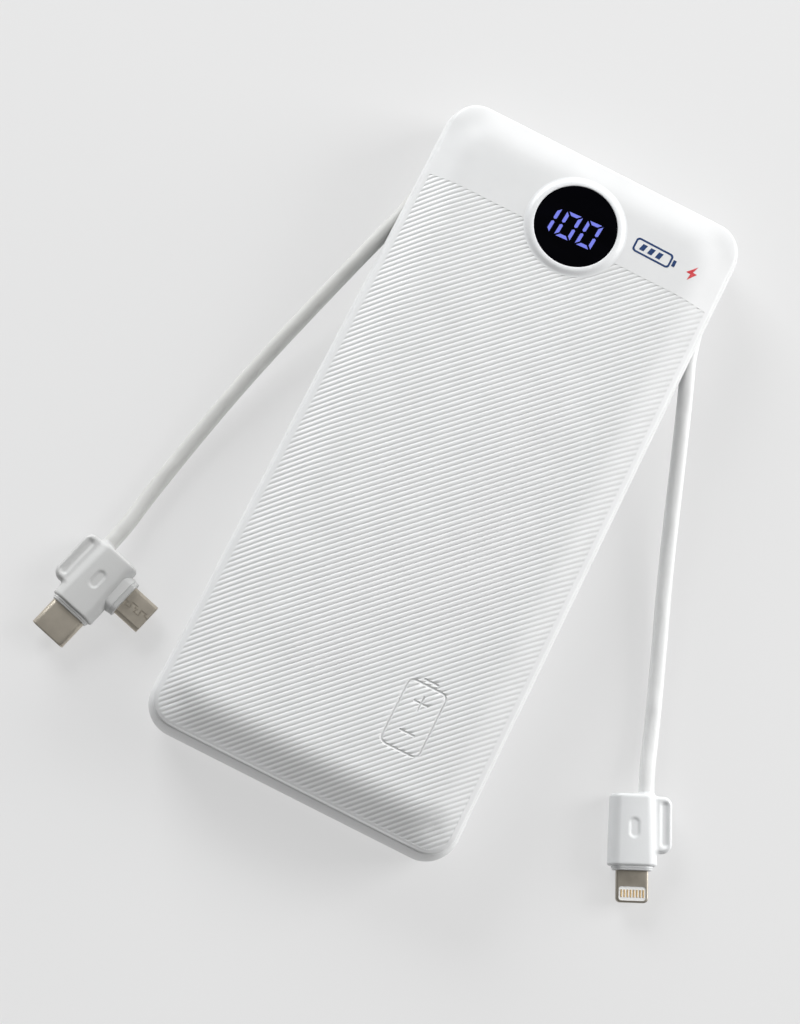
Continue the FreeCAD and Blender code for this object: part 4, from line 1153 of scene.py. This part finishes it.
def rounded_polygon(corners, radius, steps=4):
    """A polygon's outline with each corner turned by a small arc."""
    points = []
    count = len(corners)
    for index in range(count):
        corner = Vector(corners[index])
        into = (corner - Vector(corners[index - 1])).normalized()
        away = (Vector(corners[(index + 1) % count]) - corner).normalized()
        turn = math.acos(max(-1, min(1, into.dot(away))))
        reach = radius * math.tan(turn / 2)
        start, end = corner - into * reach, corner + away * reach
        for step in range(steps + 1):
            share = step / steps
            points.append(tuple(start.lerp(corner, share).lerp(corner.lerp(end, share), share)))
    return np.array(points)


def micro_ring(inset, height):
    """The side plug's section: flat below, bevelled above."""
    half, low, waist, shoulder = 3.425 - inset, -0.9 + inset, 0.15, 2.7 - inset / 2
    corners = [(-half, low), (half, low), (half, waist), (shoulder, -low), (-shoulder, -low), (-half, waist)]
    return level(rounded_polygon(corners, 0.3 if inset < 0.1 else 0.12), height)


def ribbon(path, width, low, high):
    """A closed strip of even width along a flat path, from low to high."""
    left, right = [], []
    for index, point in enumerate(path):
        here = Vector(point)
        before = (here - Vector(path[index - 1])).normalized() if index else None
        after = (Vector(path[index + 1]) - here).normalized() if index + 1 < len(path) else None
        first, second = before or after, after or before
        normal = Vector((-first.y - second.y, first.x + second.x)).normalized()
        reach = width / 2 / max(0.3, normal.dot(Vector((-first.y, first.x))))
        left.append(here + normal * reach)
        right.append(here - normal * reach)
    flat = np.array([tuple(point) for point in [*right, *reversed(left)]])
    return skin([level(flat, low), level(flat, high)])


def micro_seam():
    """The square interlocking joint in the side plug's folded top face."""
    path = [(MICRO_ROOT - 0.4, 0.0)]
    for tooth in range(2):
        start = MICRO_ROOT + 0.75 + tooth * 2.5
        path += [
            (start, 0.0),
            (start - 0.2, 0.75),
            (start + 1.0, 0.75),
            (start + 0.8, -0.55),
            (start + 2.1, -0.55),
            (start + 1.95, 0.0),
        ]
    path.append((MICRO_ROOT + MICRO_REACH + 0.4, 0.0))
    return path


def left_plug():
    place = plug_frame("left")
    along = place @ ALONG_NOSE
    across = place @ side_nose("left", MICRO_AXIAL)
    tip = COLLAR_FRONT + TYPE_C_REACH
    collar = stepped_collar(4.6, 2.25, 2.0, PLUG_LENGTH, COLLAR_FRONT)
    # The left plug's plastic pieces, the grip included, take the darker plug_left copy: painted shade.
    made = [
        new_piece("collar_type_c", *moved(collar, along), "plug_left", "plug_white", ["type_c_collar"]),
        new_piece(
            "sleeve_type_c",
            *moved(sleeve(type_c_ring, COLLAR_FRONT, tip, 0.3, COLLAR_FRONT + 0.4), along),
            "plate",
            "plug_metal",
            ["type_c_plug_shell"],
        ),
    ]
    collar = stepped_collar(4.4, 2.25, 2.0, PLUG_HALF_WIDE - 0.4, MICRO_ROOT)
    shape = moved(collar, across)
    made.append(new_piece("collar_micro", *shape, "plug_left", "plug_white", ["micro_collar"]))
    shell = sleeve(micro_ring, MICRO_ROOT, MICRO_ROOT + MICRO_REACH, 0.25, MICRO_ROOT + 0.4)
    piece = new_piece("sleeve_micro", *moved(shell, across), "plate", "plug_metal", ["micro_plug_shell"])
    seam = ribbon([(MICRO_AXIAL + y, x) for x, y in micro_seam()], 0.28, 0.67, 1.4)
    cut_away(piece, [moved(seam, place)], 30)
    made.append(piece)
    return [housing("left"), *made]


BLADE_HALF_WIDE = 3.35
BLADE_REACH = 6.6
BLADE_HALF_THICK = 0.75
BLADE_CONTACTS = 8  # on each face
CONTACT_PITCH = 0.66


def right_plug():
    place = plug_frame("right")
    collar = stepped_collar(4.35, 2.25, 2.0, PLUG_LENGTH, COLLAR_FRONT)
    shape = moved(collar, place @ ALONG_NOSE)
    made = [new_piece("collar_blade", *shape, "plug_right", "plug_white", ["blade_collar"])]
    tip = COLLAR_FRONT + BLADE_REACH
    root = COLLAR_FRONT - 0.8
    middle = (root + tip) / 2
    plan = slab((tip - root) / 2, BLADE_HALF_WIDE, 0.9, -BLADE_HALF_THICK, BLADE_HALF_THICK, 0.28, 8, 4)
    blade = new_piece(
        "blade_body",
        *moved(plan, place @ Matrix.Translation((middle, 0, 0))),
        "blade",
        "plug_metal",
        ["blade_shank"],
    )
    window = place @ Matrix.Translation((tip - 1.85, 0, 0))
    cutters, inserts, contacts = [], [], []
    for sign in (1, -1):
        recess = sorted((sign * (BLADE_HALF_THICK - 0.2), sign * 2))
        insert = sorted((sign * 0.3, sign * 0.66))
        cutters.append(moved(slab(1.46, 2.86, 0.6, *recess, 0, 8), window))
        inserts.append(moved(slab(1.50, 2.90, 0.62, *insert, 0, 8), window))
        pad = sorted((sign * 0.6, sign * 0.72))
        for index in range(BLADE_CONTACTS):
            y = (index - (BLADE_CONTACTS - 1) / 2) * CONTACT_PITCH
            bar = slab(0.8, 0.18, 0.08, *pad, 0.03, 3, 2)
            contacts.append(moved(bar, window @ Matrix.Translation((0, y, 0))))
    cut_away(blade, cutters, 30)
    made.append(blade)
    made.append(new_piece("blade_pad", *joined(inserts), "insert", "insert_white", ["blade_insert"]))
    made.append(new_piece("blade_fingers", *joined(contacts), "gold", "contact_gold", ["blade_contacts"]))
    return [housing("right"), *made]


on_plug = {"left": left_plug(), "right": right_plug()}

# ---------------------------------------------------------------- glands and button

GLAND_BLOCK_START = 56.5


def gland(side):
    """The moulded exit in the side channel, tapering onto the lead."""
    sign = MIRROR[side]
    first, second = (Vector(point) for point in LEAD_ROUTES[side][:2])
    forward = (second - first).normalized()
    high = box_mm(f"lead_gland_{side}")[1]

    def field(x, y, z):
        x = x * sign
        z = z - CHANNEL_HEIGHT
        ahead = (y - first.y) * forward.y + (x * sign - first.x) * forward.x
        centre_x = (first.x + forward.x * (y - first.y) / forward.y) * sign
        taper = 1.72 + 0.38 * np.clip(-ahead / 7, 0, 1)
        ridge = 0.10 * np.maximum(np.cos(ahead * 2 * math.pi / 1.3), 0) * (ahead < -0.4) * (ahead > -3.4)
        radial = np.hypot(x - centre_x, z)
        nose = np.maximum(radial - taper - ridge, ahead)
        shoe = rounded_plate(x - 33.0, z, 1.75, 2.02, 0.5)
        shoe = padded_out(shoe, y - (GLAND_BLOCK_START + high.y) / 2, (high.y - GLAND_BLOCK_START) / 2, 0.3)
        return join(shoe, np.maximum(nose, -ahead - 6), 0.6)

    bounds_x = sorted((sign * 30.6, sign * 35.6))
    shape = moulded(field, (bounds_x[0], first.y - 0.6, 5.2), (bounds_x[1], high.y + 0.5, 10.8), 0.12)
    # The left gland takes the darker lead rubber, painted shade, and the right one the lighter, painted
    # light.
    new_piece(f"gland_{side}", *shape, f"lead_{side}", "lead_white", [f"lead_gland_{side}"], crease=60)


for side in MIRROR:
    gland(side)


def side_button():
    """The button's cap, slightly dished, on its flange and plunger."""
    low, high = box_mm("power_button")
    centre_y = (low.y + high.y) / 2
    half_wide, half_tall = 3.0, 1.6
    flat, normals = rounded_ring(half_wide, half_tall, half_tall - 0.01, 12)
    rings = [level(flat, -2.4)]
    rims = [(0.35 * early, -0.35 * late) for early, late in quarter(4, 0)]
    for inset, sink in [*rims, (0.7, -0.03), (1.1, -0.09), (1.5, -0.12)]:
        rings.append(level(flat - normals * inset, sink))
    matrix = Matrix.Translation((high.x, centre_y, (low.z + high.z) / 2)) @ facing((1, 0, 0))
    flange = moved(slab(2.7, 2.4, 1.2, -3.15, -2.45, 0.1), matrix)
    circle = disc([(0.9, low.x - high.x), (0.9, -3.1)], (0, 0), 32)
    shape = joined([moved(skin(rings), matrix), flange, moved(circle, matrix)])
    new_piece("button_cap", *shape, "button", "button_white", ["power_button"], body="button")


side_button()

# ---------------------------------------------------------------- carried-over nodes

CAD_MATERIALS = {
    "liner": ["side_liner_left", "side_liner_right"],
    "gold": [
        "type_c_plug_contacts",
        "micro_plug_contacts",
        "type_a_contacts",
        "type_c_contacts",
    ],
    "insert": ["type_a_tongue", "switch_stem"],
    "dark": ["type_c_plug_insert", "micro_plug_insert", "type_c_tongue", "display_module", "tact_switch"],
    "port": ["type_a_shell", "type_c_shell"],
    "mask": ["main_board", "protection_board"],
    "chip": ["charge_controller", "display_driver", "power_switches"],
    "ferrite": ["power_inductor"],
    "ceramic": ["ceramic_capacitors"],
    "can": ["bulk_capacitor"],
    "foil": ["battery_cell_lower", "battery_cell_upper"],
    "tape": ["cell_tape_lower", "cell_tape_middle"],
    "foam": ["cell_foam_top"],
    "nickel": ["cell_tabs", "board_screws", "display_pins"],
    "red": ["battery_lead_positive"],
    "black": ["battery_lead_negative", "board_wires"],
}


def dress_cad_nodes():
    """Gives each CAD node that stays in view its own material."""
    for material, names in CAD_MATERIALS.items():
        for name in names:
            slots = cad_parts[name].material_slots
            for index in range(len(slots)):
                slots[index].material = MATERIALS[material]


dress_cad_nodes()

# ---------------------------------------------------------------- floor and light

FLOOR_SIZE = 8.0  # metres, past the edge of any low view
FLOOR_GLOW = 0.66  # how much of the floor's light is its own, as on a lit table
FLOOR_GREY = 0.812


def floor():
    half = FLOOR_SIZE / 2
    mesh = bpy.data.meshes.new("floor")
    corners = [(-half, -half, 0), (half, -half, 0), (half, half, 0), (-half, half, 0)]
    mesh.from_pydata(corners, [], [(0, 1, 2, 3)])
    shader = Shader("floor_paper", Roughness=0.9, Emission_Strength=FLOOR_GLOW)
    grain = shader.spread(shader.noise(0.6, 3), 0, 1)
    shade = FLOOR_GREY * (1 - FLOOR_GLOW)
    shader.colour(shader.mix(grain, (shade * 0.998,) * 3, (shade * 1.002,) * 3))
    shader.surface.inputs["Emission Color"].default_value = (FLOOR_GREY, FLOOR_GREY, FLOOR_GREY, 1)
    shader.surface.inputs["Specular IOR Level"].default_value = 0.0
    mesh.materials.append(shader.material)
    sheet = in_scene("floor", mesh)


def softbox(name, place, size, power, colour=(1, 1, 1)):
    """A square area light at place, in metres, aimed at the middle of the case."""
    data = bpy.data.lights.new(name, "AREA")
    data.size = size
    data.energy = power
    data.color = colour
    lamp = in_scene(name, data)
    lamp.location = place
    aim = CAMERA_TARGET * MM - Vector(place)
    lamp.rotation_euler = aim.to_track_quat("-Z", "Y").to_euler()


def studio():
    world = bpy.data.worlds.new("studio")
    world.use_nodes = True
    nodes, links = world.node_tree.nodes, world.node_tree.links
    backdrop = nodes["Background"]
    backdrop.inputs["Color"].default_value = (1.0, 1.0, 0.995, 1)
    direction = nodes.new("ShaderNodeTexCoord")
    parts = nodes.new("ShaderNodeSeparateXYZ")
    steep = nodes.new("ShaderNodeMath")
    steep.operation = "POWER"
    steep.use_clamp = True
    steep.inputs[1].default_value = 5
    ceiling = nodes.new("ShaderNodeMapRange")
    ceiling.inputs["To Min"].default_value = 0.08
    ceiling.inputs["To Max"].default_value = 0.45
    links.new(direction.outputs["Generated"], parts.inputs["Vector"])
    links.new(parts.outputs["Z"], steep.inputs[0])
    links.new(steep.outputs["Value"], ceiling.inputs["Value"])
    links.new(ceiling.outputs["Result"], backdrop.inputs["Strength"])
    bpy.context.scene.world = world
    softbox("left", (-0.92, 0.80, 0.49), 0.7, 17, (0.985, 0.995, 1.0))
    softbox("right", (1.00, 0.72, 0.44), 0.7, 16, (1.0, 1.0, 1.0))
    softbox("high", (0.75, 0.45, 0.95), 0.6, 2.7)


floor()
studio()
bpy.context.scene.view_settings.view_transform = "Standard"
